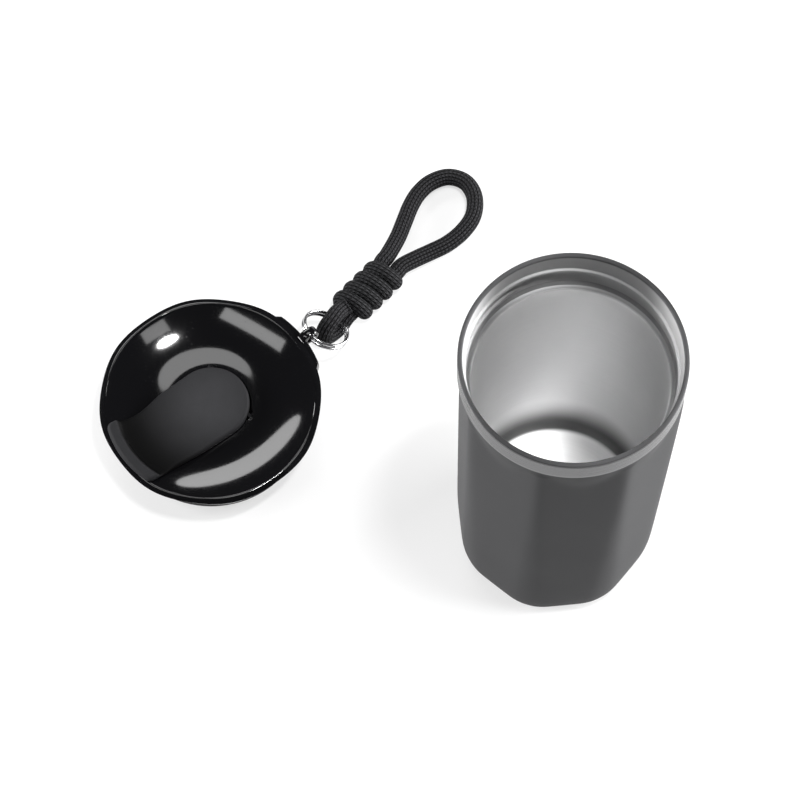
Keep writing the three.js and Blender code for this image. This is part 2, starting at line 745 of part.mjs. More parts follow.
// Least gap between stretches of the winding, measured on points along it.
function windingGap() {
  const points = knotCurve.getSpacedPoints(GAP_SAMPLES);
  const apart = Math.ceil((GAP_SAMPLES * 4 * WRAP_RADIUS) / knotCurve.getLength());
  let least = Infinity;
  for (let i = 0; i < points.length; i += 1)
    for (let j = i + apart; j < points.length; j += 1)
      least = Math.min(least, points[i].distanceTo(points[j]));
  return least - 2 * WRAP_RADIUS;
}

function lanyardCore() {
  const length = 2 * (knotHalf - FIT_GAP);
  const geometry = new THREE.CylinderGeometry(CORE_RADIUS, CORE_RADIUS, length, CORE_SIDES);
  geometry.rotateZ(-Math.PI / 2).rotateZ(KNOT_TURN);
  return solid(geometry.translate(knotCentre.x, knotCentre.y, knotCentre.z));
}

function cord(route) {
  const curve = new THREE.CatmullRomCurve3(route.map((point) => new THREE.Vector3(...point)));
  return tube(curve, CORD_RADIUS, CORD_SIDES, Math.round(curve.getLength() / CORD_STEP));
}

// Materials by what the pieces are made of
const material = (color, metalness, roughness) =>
  new THREE.MeshStandardMaterial({ color, metalness, roughness });
const PAINT = material(0x3a3a3c, 0.3, 0.45);
const STEEL = material(0xb9bbbd, 1, 0.35);
const FOIL = material(0xc9cbcd, 1, 0.2);
const GLASS = material(0x9aa7a0, 0, 0.2);
const GETTER_ALLOY = material(0x6d6f73, 0.8, 0.6);
const GLOSS_BLACK = material(0x08080a, 0, 0.1);
const SATIN_BLACK = material(0x1b1b1d, 0, 0.55);
const SILICONE = material(0x2c2c2e, 0, 0.7);
const CHROME = material(0xd5d7da, 1, 0.12);
const BRAID = material(0x141416, 0, 0.85);

const part = new THREE.Group();
const lid = new THREE.Group();
lid.position.set(LUG_PLACE[0] - lugX * Math.cos(LID_TURN), LUG_PLACE[1] - lugX * Math.sin(LID_TURN), 0);
lid.rotation.z = LID_TURN;
part.add(lid);

function add(group, name, made, look) {
  const mesh = new THREE.Mesh(geometryOf(made), look);
  mesh.name = name;
  group.add(mesh);
}

add(part, "outer_shell", outerShell(), PAINT);
add(part, "inner_liner", innerLiner(), STEEL);
add(part, "radiation_foil", radiationFoil(), FOIL);
add(part, "vacuum_closure", vacuumClosure(), STEEL);
add(part, "seal_bead", sealBead(), GLASS);
add(part, "getter", getter(), GETTER_ALLOY);
add(part, "base_plate", basePlate(), STEEL);
add(lid, "lid_shell", lidShell(), GLOSS_BLACK);
add(lid, "lid_plug", lidPlug(), SATIN_BLACK);
add(lid, "lid_plate", lidPlate(), SATIN_BLACK);
add(lid, "lid_seal", lidSeal(), SILICONE);
add(lid, "flip_cover", flipCover(), SATIN_BLACK);
add(lid, "flip_pin", flipPin(), STEEL);
add(lid, "sip_stopper", stopper(SIP_RADIUS - STOPPER_GAP, STOPPER_TAPER, STOPPER_REACH, sipX), SILICONE);
add(lid, "vent_stopper", stopper(VENT_RADIUS - VENT_STOPPER_GAP, 0, VENT_STOPPER_REACH, ventX), SILICONE);
add(lid, "split_ring", splitRing(), CHROME);
add(part, "lanyard_bight", cord(BIGHT_ROUTE), BRAID);
add(part, "lanyard_knot", lanyardKnot(), BRAID);
add(part, "lanyard_core", lanyardCore(), BRAID);
add(part, "lanyard_loop", cord(LOOP_ROUTE), BRAID);
console.log("lanyard_knot least gap to itself", windingGap().toFixed(2), "mm");

export default part;
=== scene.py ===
import math

import bpy
from bpy.props import FloatProperty, FloatVectorProperty, IntProperty, PointerProperty
from mathutils import Matrix, Vector


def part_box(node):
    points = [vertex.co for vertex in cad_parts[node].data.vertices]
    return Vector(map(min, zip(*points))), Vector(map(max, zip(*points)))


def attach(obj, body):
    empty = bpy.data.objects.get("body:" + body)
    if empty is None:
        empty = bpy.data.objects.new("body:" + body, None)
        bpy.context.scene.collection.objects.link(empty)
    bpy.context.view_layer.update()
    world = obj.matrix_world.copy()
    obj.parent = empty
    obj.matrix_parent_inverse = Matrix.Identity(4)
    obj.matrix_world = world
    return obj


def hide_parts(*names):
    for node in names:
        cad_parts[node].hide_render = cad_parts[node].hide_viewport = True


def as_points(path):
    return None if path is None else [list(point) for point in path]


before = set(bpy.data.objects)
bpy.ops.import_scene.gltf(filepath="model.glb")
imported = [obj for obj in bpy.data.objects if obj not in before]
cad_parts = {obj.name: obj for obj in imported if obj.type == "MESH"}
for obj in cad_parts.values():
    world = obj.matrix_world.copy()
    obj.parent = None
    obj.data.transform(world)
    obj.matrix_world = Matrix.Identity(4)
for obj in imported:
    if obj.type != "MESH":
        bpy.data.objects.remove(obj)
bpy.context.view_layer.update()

bl_info = {
    "name": "Insulated mug",
    "version": (1, 0, 0),
    "blender": (4, 5, 0),
    "location": "View3D > Sidebar > Mug",
    "description": "Dresses a faceted steel mug, its flip lid and the lanyard on it",
    "category": "Add Mesh",
}

TAU = 2 * math.pi
SIDES = 8

# Sizes in metres that two pieces share, or a piece and its finish.
LIP_HEIGHT = 0.0015
THUMB_LIP_FOOT, THUMB_LIP_CREST = 0.0364, 0.0378

# The lid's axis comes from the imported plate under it.
PLATE_LOW, PLATE_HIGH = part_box("lid_plate")
LID_AXIS = Vector(((PLATE_LOW.x + PLATE_HIGH.x) / 2, (PLATE_LOW.y + PLATE_HIGH.y) / 2, 0))
LID_TURN = math.radians(36.6)
LID_FRAME = Matrix.Translation(LID_AXIS) @ Matrix.Rotation(LID_TURN, 4, "Z")

# Routes of the cord in metres, with points about a step apart on the lines through them.
CORD_STEP = 0.0009
# The fold through the ring. At the knot its strands lie nearer to each other than the solid's do.
BIGHT_ROUTE = [
    (-0.0822, 0.0864, 0.0111),
    (-0.0835, 0.0849, 0.0122),
    (-0.0849, 0.0828, 0.0139),
    (-0.0867, 0.0798, 0.0147),
    (-0.0889, 0.0770, 0.0131),
    (-0.0898, 0.0758, 0.0092),
    (-0.0888, 0.0767, 0.0054),
    (-0.0862, 0.0791, 0.0037),
    (-0.0836, 0.0815, 0.0042),
    (-0.0819, 0.0836, 0.0056),
    (-0.0807, 0.0850, 0.0064),
]
# The hand loop, from the knot's left leg round to its right one.
LOOP_ROUTE = [
    (-0.0665, 0.1089, 0.0069),
    (-0.0654, 0.1103, 0.0066),
    (-0.0629, 0.1154, 0.0050),
    (-0.0604, 0.1210, 0.0038),
    (-0.0580, 0.1276, 0.0035),
    (-0.0552, 0.1351, 0.0035),
    (-0.0521, 0.1406, 0.0035),
    (-0.0470, 0.1455, 0.0035),
    (-0.0399, 0.1479, 0.0035),
    (-0.0333, 0.1457, 0.0035),
    (-0.0296, 0.1395, 0.0035),
    (-0.0300, 0.1308, 0.0035),
    (-0.0340, 0.1240, 0.0035),
    (-0.0405, 0.1181, 0.0035),
    (-0.0474, 0.1142, 0.0038),
    (-0.0535, 0.1106, 0.0050),
    (-0.0592, 0.1066, 0.0064),
    (-0.0613, 0.1039, 0.0066),
]
# The hidden run inside the knot, from the loop to the fold.
CORE_ROUTE = [(-0.0685, 0.1044, 0.0066), (-0.0725, 0.0958, 0.0062), (-0.0771, 0.0892, 0.0058)]
KNOT_PLACE = Vector((-0.0725, 0.0958, 0.0070))
KNOT_TURN = math.radians(46.8)


def metres(name, description, default):
    """A size that a user may change."""
    return FloatProperty(name=name, description=description, default=default, unit="LENGTH")


def degrees(name, description, default):
    """An angle that a user may change, written in degrees."""
    return FloatProperty(name=name, description=description, default=math.radians(default), subtype="ANGLE")


def plain(name, description, default):
    """A number without a unit that a user may change."""
    return FloatProperty(name=name, description=description, default=default)


def points(default):
    """How finely a piece is divided."""
    return IntProperty(name="Points around", description="Points on each ring", default=default)


def three(name, description, subtype, default):
    """A colour or a place that a user may change."""
    return FloatVectorProperty(name=name, description=description, size=3, subtype=subtype, default=default)


class MugSizes(bpy.types.PropertyGroup):
    """Sizes of the mug's body and liner."""

    height: metres("Height", "Table to lip", 0.166)
    rim: metres("Rim radius", "Outside of the lip", 0.040)
    band: metres("Bare band", "Unpainted steel under the lip", 0.0105)
    runout: metres("Shoulder", "Height over which the flats end", 0.0155)
    facet_depth: metres("Flat depth", "Rim radius less the flats", 0.0023)
    facet_taper: metres("Flat taper", "Flats drawn in at the base", 0.0008)
    facing: degrees("Flat facing", "Heading of one flat", -84.3)
    corner_taper: metres("Corner taper", "Corners drawn in at the base", 0.0026)
    foot_width: metres("Foot width", "How far the base draws in", 0.0064)
    foot_height: metres("Foot height", "Height of the round foot", 0.031)
    foot_power: plain("Foot curve", "How tight the round foot is", 3.7)
    base_hole: metres("Base hole", "Radius open for the base plate", 0.0275)
    wall: metres("Wall", "Steel sheet", 0.0006)
    floor: metres("Floor height", "Inside floor above the table", 0.0184)
    floor_corner: metres("Floor round", "Round between floor and wall", 0.0054)
    liner_base: metres("Liner base radius", "Inside at the floor", 0.0341)
    liner_top: metres("Liner top radius", "Inside under the ledge", 0.035)
    ledge: metres("Ledge height", "Step below the neck", 0.1463)
    neck_base: metres("Neck base radius", "Inside above the ledge", 0.03739)
    neck_top: metres("Neck top radius", "Inside under the lip", 0.0383)
    thread_depth: metres("Thread depth", "How far the thread stands in", 0.0009)
    thread_pitch: metres("Thread pitch", "Rise of one turn", 0.006)
    thread_turns: plain("Thread turns", "Length of the thread", 1.4)
    around: points(192)


class LidSizes(bpy.types.PropertyGroup):
    """Sizes of the lid, its flip cover and the ring on it."""

    inradius: metres("Half width", "Axis to a flat side", 0.0429)
    foot: metres("Foot radius", "Skirt's edge over the mug's rim", 0.0404)
    top: metres("Top height", "Table to the rim of the bowl", 0.022)
    skirt: metres("Skirt height", "Table to the skirt's edge", 0.014)
    bevel: metres("Bevel", "Width of the outer bevel", 0.0016)
    bevel_drop: metres("Bevel drop", "Height of the outer bevel", 0.0008)
    bowl: metres("Bowl radius", "Round edge of the dished top", 0.0406)
    bowl_flat: metres("Bowl floor radius", "Flat middle of the top", 0.017)
    bowl_depth: metres("Bowl depth", "Rim to flat middle", 0.0058)
    bowl_power: plain("Bowl curve", "How late the bowl rises", 1.7)
    softness: plain("Corner sharpness", "Low for a rounder outline", 9.3)
    wall: metres("Wall", "Moulded wall", 0.002)
    boss: metres("Boss radius", "Thickened side at the lug", 0.045)
    lug: metres("Lug place", "Axis to the lug's hole", 0.0475)
    lug_height: metres("Lug height", "Table to the lug's hole", 0.0195)
    lug_radius: metres("Lug radius", "Round end of the lug", 0.0036)
    flip_lift: metres("Flip gap", "Air under the flip cover", 0.0005)
    flip_thickness: metres("Flip thickness", "Flip cover's plate", 0.0028)
    flip_half: metres("Flip half width", "Round end's radius", 0.0151)
    flip_end: metres("Flip end half width", "Half width at the grip", 0.0146)
    flip_reach: metres("Flip reach", "Axis to the grip's edge", 0.0416)
    hinge: metres("Hinge place", "Axis to the flip's pin", 0.009)
    hinge_height: metres("Hinge height", "Table to the flip's pin", 0.0168)
    plug: metres("Plug radius", "Screw plug under the lid", 0.0363)
    ring: metres("Ring radius", "Split ring's middle line", 0.0092)
    ring_pitch: metres("Ring pitch", "Rise of one turn of wire", 0.00175)
    wire: metres("Wire radius", "Split ring's wire", 0.00065)
    around: points(192)


class LanyardSizes(bpy.types.PropertyGroup):
    """Sizes of the braided cord and its knot."""

    cord: metres("Cord radius", "Braided cord", 0.0034)
    wind: metres("Winding half width", "Knot's axis to a wrap's side", 0.0050)
    wind_height: metres("Winding half height", "Knot's axis to a wrap's top", 0.0037)
    pitch: metres("Winding pitch", "Rise of one wrap", 0.0058)
    turns: plain("Wraps", "Turns of cord in the knot", 4.0)
    around: points(28)


class Colours(bpy.types.PropertyGroup):
    """Colours of the finishes."""

    paint: three("Paint", "Body", "COLOR", (0.046, 0.046, 0.0475))
    steel: three("Steel", "Liner", "COLOR", (0.93, 0.93, 0.935))
    # Painted shade: the bare steel of band, neck and lip gets a dark colour that stands for the dark room it
    # reflects.
    band: three("Band", "Bare band, neck and lip", "COLOR", (0.09, 0.09, 0.0925))
    gloss: three("Gloss black", "Lid", "COLOR", (0.0025, 0.0025, 0.003))
    satin: three("Satin black", "Flip and plug", "COLOR", (0.007, 0.007, 0.0075))
    silicone: three("Silicone", "Seals", "COLOR", (0.03, 0.03, 0.032))
    chrome: three("Chrome", "Ring", "COLOR", (0.55, 0.55, 0.56))
    braid: three("Braid", "Cord", "COLOR", (0.0115, 0.0115, 0.0122))
    floor: three("Floor", "Table", "COLOR", (0.9, 0.9, 0.9))


class StageSizes(bpy.types.PropertyGroup):
    """The camera and the lights."""

    lens: plain("Lens", "Focal length in millimetres on a sensor 36 mm wide", 148.0)
    eye: three("Camera place", "Where the camera stands", "TRANSLATION", (-0.05964, -0.43662, 1.20837))
    tilt: degrees("Camera tilt", "From straight down", 22.0)
    overhead: plain("Overhead", "Brightness of the round soft box", 4.7)
    strip: plain("Strip", "Brightness of the strip box at the left", 6.0)
    far: plain("Far panel", "Brightness of the panel behind", 8.0)
    small: plain("Small box", "Brightness of the small box at the right", 4.5)
    glint: plain("Bare lamp", "Brightness of the lamp that makes the glint", 215.0)
    right: plain("Right side", "Brightness of the low box at the right", 32.0)
    left: plain("Left side", "Brightness of the low box at the left", 19.0)
    ambient: plain("Ambient", "Room light", 0.05)


class Value:
    """A socket that takes part in sums and products."""

    def __init__(self, finish, socket):
        self.finish = finish
        self.socket = socket

    def math(self, operation, *others):
        sockets = dict(enumerate([self, *others]))
        return self.finish.node("ShaderNodeMath", {"operation": operation}, sockets)

    def __add__(self, other):
        return self.math("ADD", other)

    def __sub__(self, other):
        return self.math("SUBTRACT", other)

    def __rsub__(self, other):
        return self.finish.node("ShaderNodeMath", {"operation": "SUBTRACT"}, {0: other, 1: self})

    def __mul__(self, other):
        return self.math("MULTIPLY", other)

    __radd__ = __add__
    __rmul__ = __mul__

    def wave(self):
        """From 0 to 1 and back once for each whole number."""
        return (self * TAU).math("SINE") * 0.5 + 0.5

    def step(self, low, high):
        """0 below low, 1 above high, smooth between."""
        sockets = {"Value": self, "From Min": low, "From Max": high}
        return self.finish.node("ShaderNodeMapRange", {"interpolation_type": "SMOOTHSTEP"}, sockets)


class Finish:
    """A material's nodes, with the Principled shader at their end."""

    def __init__(self, name):
        self.material = bpy.data.materials.new(name)
        self.material.use_nodes = True
        self.tree = self.material.node_tree
        self.shader = self.tree.nodes["Principled BSDF"]

    def fill(self, node, sockets):
        for key, value in sockets.items():
            if isinstance(value, Value):
                self.tree.links.new(value.socket, node.inputs[key])
            else:
                node.inputs[key].default_value = value

    def node(self, kind, settings=None, sockets=None, output=0):
        """A new node: its settings first, then its sockets. Gives one of its outputs."""
        node = self.tree.nodes.new(kind)
        for key, value in (settings or {}).items():
            setattr(node, key, value)
        self.fill(node, sockets or {})
        return Value(self, node.outputs[output])

    def place(self):
        """Object coordinates."""
        return self.node("ShaderNodeTexCoord", output="Object")

    def axes(self, vector):
        """A vector's three values."""
        first = self.node("ShaderNodeSeparateXYZ", None, {0: vector})
        return [Value(self, socket) for socket in first.socket.node.outputs]

    def stretched(self, where, scale):
        return self.node("ShaderNodeMapping", None, {"Vector": where, "Scale": scale})

    def noise(self, where, scale=1.0, detail=2.0, rough=0.5):
        sockets = {"Vector": where, "Scale": scale, "Detail": detail, "Roughness": rough}
        return self.node("ShaderNodeTexNoise", None, sockets, "Fac")

    def blend(self, share, first, second):
        """Colour between two colours."""
        colours = [c if isinstance(c, Value) else (*c, 1.0) for c in (first, second)]
        sockets = {0: share, 6: colours[0], 7: colours[1]}
        return self.node("ShaderNodeMix", {"data_type": "RGBA"}, sockets, 2)

    def bump(self, height, distance, strength):
        sockets = {"Height": height, "Distance": distance, "Strength": strength}
        return self.node("ShaderNodeBump", None, sockets)

    def done(self, **sockets):
        """Sets the shader's sockets, named with underscores, and gives the material."""
        self.fill(self.shader, {key.replace("_", " "): value for key, value in sockets.items()})
        return self.material


def shade(colour, share):
    """A colour made lighter or darker."""
    return tuple(min(1.0, part * share) for part in colour)


def from_axis(x, y):
    """Distance from an upright axis."""
    return (x * x + y * y).math("SQRT")


def painted_body(colours, band_bottom):
    """Powder coat below the bare band, brushed steel on it, darkened with painted shade."""
    finish = Finish("powder_coat_and_bare_band")
    where = finish.place()
    z = finish.axes(where)[2]
    edge = 0.00012
    bare = z.step(band_bottom - edge, band_bottom + edge)
    speckle = finish.noise(where, scale=2600.0, detail=3.0, rough=0.6)
    cloud = finish.noise(where, scale=38.0)
    lines = finish.noise(finish.stretched(where, (25, 25, 5200)), detail=3.0, rough=0.6)
    mottle = speckle * 0.35 + cloud * 0.45
    paint = finish.blend(mottle, shade(colours.paint, 0.84), shade(colours.paint, 1.16))
    # Painted shade: the bare band's steel takes the dark band colour.
    steel = finish.blend(lines, shade(colours.band, 0.75), shade(colours.band, 1.2))
    height = speckle * (1 - bare) + lines * bare * 0.5 - bare * 0.6
    return finish.done(
        Base_Color=finish.blend(bare, paint, steel),
        Metallic=bare,
        Roughness=(1 - bare) * (0.36 + speckle * 0.14) + bare * (0.2 + lines * 0.16),
        Specular_IOR_Level=0.015,
        Normal=finish.bump(height, distance=0.00006, strength=0.35),
    )


def brushed_liner(colours, sizes):
    """Steel brushed round the axis, with rings turned on its floor and a duller neck and lip. Painted shade
    darkens the foot of the wall, the neck, the ledge and the lip.
    """
    finish = Finish("brushed_liner")
    where = finish.place()
    x, y, z = finish.axes(where)
    flat = 1 - z.step(sizes.floor + 0.0002, sizes.floor + 0.0012)
    lip = z.step(sizes.height - 0.0016, sizes.height - 0.0004)
    neck = z.step(sizes.ledge - 0.0016, sizes.ledge - 0.0006)
    above_step = z.step(sizes.ledge + 0.0017, sizes.ledge + 0.0022)
    step = z.step(sizes.ledge - 0.0010, sizes.ledge - 0.0006) - above_step
    # Painted shade: the wall is darker towards the floor, where shade falls low in the cup.
    clear_of_painted_shade = z.step(sizes.floor + 0.002, sizes.floor + 0.026)

    lines = finish.noise(finish.stretched(where, (30, 30, 3600)), detail=3.0, rough=0.65)
    turned = {0: from_axis(x, y) * 2400.0, 1: x * 12.0, 2: y * 12.0}
    rings = finish.noise(finish.node("ShaderNodeCombineXYZ", None, turned), rough=0.6)
    grain = lines * (1 - flat) + rings * flat
    stain = finish.noise(finish.stretched(where, (40, 40, 18)), detail=3.0)

    bright = finish.blend(grain * 0.5 + stain * 0.5, shade(colours.steel, 0.84), shade(colours.steel, 1.1))
    # Painted shade: steel darkened at the foot of the wall.
    wall = finish.blend(clear_of_painted_shade, shade(colours.steel, 0.14), bright)
    colour = finish.blend(flat, wall, bright)
    # Painted shade: the neck takes the dark band colour, which stands for the dark room its smoother steel
    # reflects.
    colour = finish.blend(neck * 0.66, colour, colours.band)
    # Painted shade: the ledge is darkened so that its upward face shows no highlight.
    colour = finish.blend(step * 0.4, colour, shade(colours.band, 0.7))
    # Painted shade: the lip takes the dark band colour as well.
    colour = finish.blend(lip, colour, colours.band)
    return finish.done(
        Base_Color=colour,
        Metallic=1.0,
        Roughness=0.36 + grain * 0.1 + stain * 0.06 + flat * 0.06 + neck * 0.06 + lip * 0.14,
        Anisotropic=0.85,
        Anisotropic_Rotation=0.25,
        Normal=finish.bump(grain, distance=0.00004, strength=0.3),
    )


def moulded_gloss(colours):
    """Polished black plastic with faint moulding flow, wiping marks and dust."""
    finish = Finish("gloss_black_plastic")
    where = finish.place()
    flow = finish.noise(where, scale=60.0)
    marks = finish.noise(finish.stretched(where, (900, 140, 300)), detail=4.0, rough=0.7)
    dust = finish.noise(where, scale=1500.0).step(0.68, 0.78)
    return finish.done(
        Base_Color=finish.blend(dust * 0.25, colours.gloss, shade(colours.gloss, 4.0)),
        Roughness=0.045 + marks * 0.04 + dust * 0.12,
        Normal=finish.bump(flow + marks * 0.06, distance=0.00012, strength=0.06),
    )


def spark_grain(finish, where):
    """The fine grain of spark-textured plastic, and the slow change in its tone."""
    return finish.noise(where, scale=3200.0, detail=3.0, rough=0.6), finish.noise(where, scale=120.0)


def moulded_satin(name, colours, rough):
    """Spark-textured black plastic."""
    finish = Finish(name)
    grain, cloud = spark_grain(finish, finish.place())
    tone = grain * 0.5 + cloud * 0.4
    return finish.done(
        Base_Color=finish.blend(tone, shade(colours.satin, 0.75), shade(colours.satin, 1.3)),
        Roughness=rough + grain * 0.12,
        Specular_IOR_Level=0.3,
        Normal=finish.bump(grain, distance=0.00006, strength=0.4),
    )


def satin_with_painted_shade(colours):
    """Spark-textured plastic with painted shade: pale at the lid's middle and dark towards the scoop, with a
    painted highlight that makes the lip beyond it paler.
    """
    finish = Finish("satin_black_flip")
    where = finish.place()
    x, y, _ = finish.axes(where)
    out = from_axis(x - LID_AXIS.x, y - LID_AXIS.y)
    grain, cloud = spark_grain(finish, where)
    # Painted shade: pale at the lid's middle, shaded dark out towards the scoop.
    plate = finish.blend(out.step(0.004, 0.034), shade(colours.satin, 5.0), shade(colours.satin, 0.1))
    # Painted highlight: the lip beyond the scoop is paler.
    plate = finish.blend(out.step(THUMB_LIP_FOOT, THUMB_LIP_CREST), plate, shade(colours.satin, 3.4))
    return finish.done(
        Base_Color=finish.blend(grain * 0.25 + cloud * 0.2, plate, shade(colours.satin, 0.3)),
        Roughness=0.5 + grain * 0.12,
        Specular_IOR_Level=0.05,
        Normal=finish.bump(grain, distance=0.00006, strength=0.4),
    )


def soft_silicone(colours):
    """Matt silicone with a fine bloom."""
    finish = Finish("silicone")
    bloom = finish.noise(finish.place(), scale=700.0, detail=4.0, rough=0.6)
    return finish.done(
        Base_Color=finish.blend(bloom, shade(colours.silicone, 0.8), shade(colours.silicone, 1.4)),
        Roughness=0.6 + bloom * 0.2,
        Normal=finish.bump(bloom, distance=0.00004, strength=0.3),
    )


def plain_metal(name, colour, rough, scale):
    """Drawn or rolled metal with fine lines along its rolling."""
    finish = Finish(name)
    lines = finish.noise(finish.stretched(finish.place(), scale), detail=3.0, rough=0.6)
    return finish.done(
        Base_Color=finish.blend(lines, shade(colour, 0.86), shade(colour, 1.1)),
        Metallic=1.0,
        Roughness=rough + lines * 0.1,
        Normal=finish.bump(lines, distance=0.00003, strength=0.25),
    )


def solder_glass():
    """Grey sealing glass with small bubbles."""
    finish = Finish("solder_glass")
    bubbles = finish.noise(finish.place(), scale=900.0)
    return finish.done(
        Base_Color=finish.blend(bubbles, (0.24, 0.28, 0.26), (0.4, 0.45, 0.42)),
        Roughness=0.12 + bubbles * 0.1,
        Normal=finish.bump(bubbles, distance=0.0001, strength=0.2),
    )


def braided_cord(colours):
    """Braid of fine ribs that cross in rows, read along the cord's own UV map: U in metres, V once around.
    The grooves between ribs are darkened as painted shade and the ribs lightened as painted highlight.
    """
    finish = Finish("braided_cord")
    where = finish.place()
    along, around, _ = finish.axes(finish.node("ShaderNodeUVMap", {"uv_map": "along_cord"}))
    rows = 15.0
    stitches_in_a_metre = 625.0
    row = (around * rows).math("FRACT")
    side = (row * 2.0 - 1.0).math("ABSOLUTE")
    slant = (along * stitches_in_a_metre + side * 0.6).wave()
    groove = 1 - side.step(0.45, 1.0)
    rib = groove * (slant * 0.6 + 0.4)
    fuzz = finish.noise(where, scale=3000.0)
    worn = finish.noise(where, scale=90.0)
    # Painted shade and highlight: the colour follows the relief, dark in the grooves and light on the ribs.
    tone = rib * (0.75 + fuzz * 0.3 + worn * 0.2)
    return finish.done(
        Base_Color=finish.blend(tone, shade(colours.braid, 0.08), shade(colours.braid, 2.6)),
        Roughness=0.65 + fuzz * 0.2,
        Specular_IOR_Level=0.04,
        Normal=finish.bump(rib + fuzz * 0.2, distance=0.0005, strength=1.0),
    )


def pale_floor(colours):
    """Matt white table with a trace of paper grain. The camera and mirrors see most of it plain white."""
    finish = Finish("pale_floor")
    grain = finish.noise(finish.place(), scale=400.0, detail=3.0)
    colour = finish.blend(grain, shade(colours.floor, 0.995), shade(colours.floor, 1.0))
    finish.done(Base_Color=colour, Roughness=0.9, Specular_IOR_Level=0.0)
    kinds = ("Camera", "Glossy", "Transmission")
    camera, glossy, clear = [finish.node("ShaderNodeLightPath", output="Is %s Ray" % kind) for kind in kinds]
    glow = 0.62
    seen = (camera + glossy + clear).math("MINIMUM", 1.0) * glow
    white = finish.node("ShaderNodeEmission", None, {"Color": (1, 1, 1, 1), "Strength": 1.0})
    paper = Value(finish, finish.shader.outputs["BSDF"])
    mixed = finish.node("ShaderNodeMixShader", None, {0: seen, 1: paper, 2: white})
    finish.fill(finish.tree.nodes["Material Output"], {"Surface": mixed})
    return finish.material


def mix(first, second, share):
    return first + (second - first) * share


def smooth(value, low, high):
    """0 below low, 1 above high, smooth between."""
    share = min(1.0, max(0.0, (value - low) / (high - low)))
    return share * share * (3 - 2 * share)


def stretch(first, last, steps):
    """Points of a straight stretch of a profile, both ends included."""
    return [(mix(first[0], last[0], i / steps), mix(first[1], last[1], i / steps)) for i in range(steps + 1)]


def arc(radius, first, last, steps):
    """Points of an arc about the axis, both ends included."""
    angles = [mix(first, last, i / steps) for i in range(steps + 1)]
    return [Vector((radius * math.cos(angle), radius * math.sin(angle))) for angle in angles]


def soft_octagon(turn, inradius, facing, sharpness):
    """Radius of an eight-sided outline with soft corners, the given one at its flats."""

    def weight(heading):
        return sum(max(0.0, math.cos(heading - TAU * side / SIDES)) ** sharpness for side in range(SIDES))

    return inradius * (weight(0.0) / weight(turn - facing)) ** (1 / sharpness)


def pick(piece):
    """Selects one piece alone and makes it the active one."""
    bpy.ops.object.select_all(action="DESELECT")
    piece.select_set(True)
    bpy.context.view_layer.objects.active = piece


def edit(piece, *steps):
    """Runs edit-mode operators on the whole of one piece."""
    pick(piece)
    bpy.ops.object.mode_set(mode="EDIT")
    bpy.ops.mesh.select_all(action="SELECT")
    for operator, options in steps:
        operator(**options)
    bpy.ops.object.mode_set(mode="OBJECT")


def close(piece):
    """Merges seams and poles, and turns the faces outwards."""
    edit(
        piece,
        (bpy.ops.mesh.remove_doubles, {"threshold": 1e-6}),
        (bpy.ops.mesh.normals_make_consistent, {"inside": False}),
    )


def loft(name, around, rings, place, uv=None):
    """A circle extruded ring by ring, with each point then set where place(ring, turn) says."""
    bpy.ops.object.select_all(action="DESELECT")
    bpy.ops.mesh.primitive_circle_add(vertices=around, radius=1.0, location=(0, 0, 0))
    piece = bpy.context.object
    piece.name = piece.data.name = name
    raise_ring = {"TRANSFORM_OT_translate": {"value": (0, 0, 1)}}
    edit(piece, *[(bpy.ops.mesh.extrude_region_move, raise_ring)] * (rings - 1))
    mesh = piece.data
    seats = [(round(v.co.z), math.atan2(v.co.y, v.co.x) % TAU) for v in mesh.vertices]
    if uv:
        layer = mesh.uv_layers.new(name="along_cord")
        for face in mesh.polygons:
            turns = [seats[mesh.loops[i].vertex_index][1] for i in face.loop_indices]
            wraps = max(turns) - min(turns) > math.pi
            for i, turn in zip(face.loop_indices, turns):
                shown = turn + TAU if wraps and turn < math.pi else turn
                layer.data[i].uv = uv(seats[mesh.loops[i].vertex_index][0], shown / TAU)
    for vertex, (ring, turn) in zip(mesh.vertices, seats):
        vertex.co = place(ring, turn)
    close(piece)
    return piece


def section(ring, last):
    """Which section a ring of a closed loft lies at, and 1, or 0 for the two rings that shut its ends."""
    return min(max(ring - 1, 0), last), 1.0 if 0 < ring <= last + 1 else 0.0


def modified(piece, kind, **settings):
    """Adds a modifier with its settings and applies it."""
    pick(piece)
    bpy.ops.object.modifier_add(type=kind)
    modifier = piece.modifiers[-1]
    for key, value in settings.items():
        setattr(modifier, key, value)
    bpy.ops.object.modifier_apply(modifier=modifier.name)


def cut(piece, cutter, operation="DIFFERENCE"):
    """Cuts or joins with another mesh, which is then removed."""
    modified(piece, "BOOLEAN", object=cutter, operation=operation, solver="EXACT")
    bpy.data.objects.remove(cutter)


def finished(piece, body, slot, material, *nodes, angle):
    """Gives a piece its shading, finish and place in the frame."""
    pick(piece)
    bpy.ops.object.shade_smooth_by_angle(angle=math.radians(angle))
    piece.data.materials.clear()
    piece.data.materials.append(material)
    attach(piece, body)
    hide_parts(*nodes)


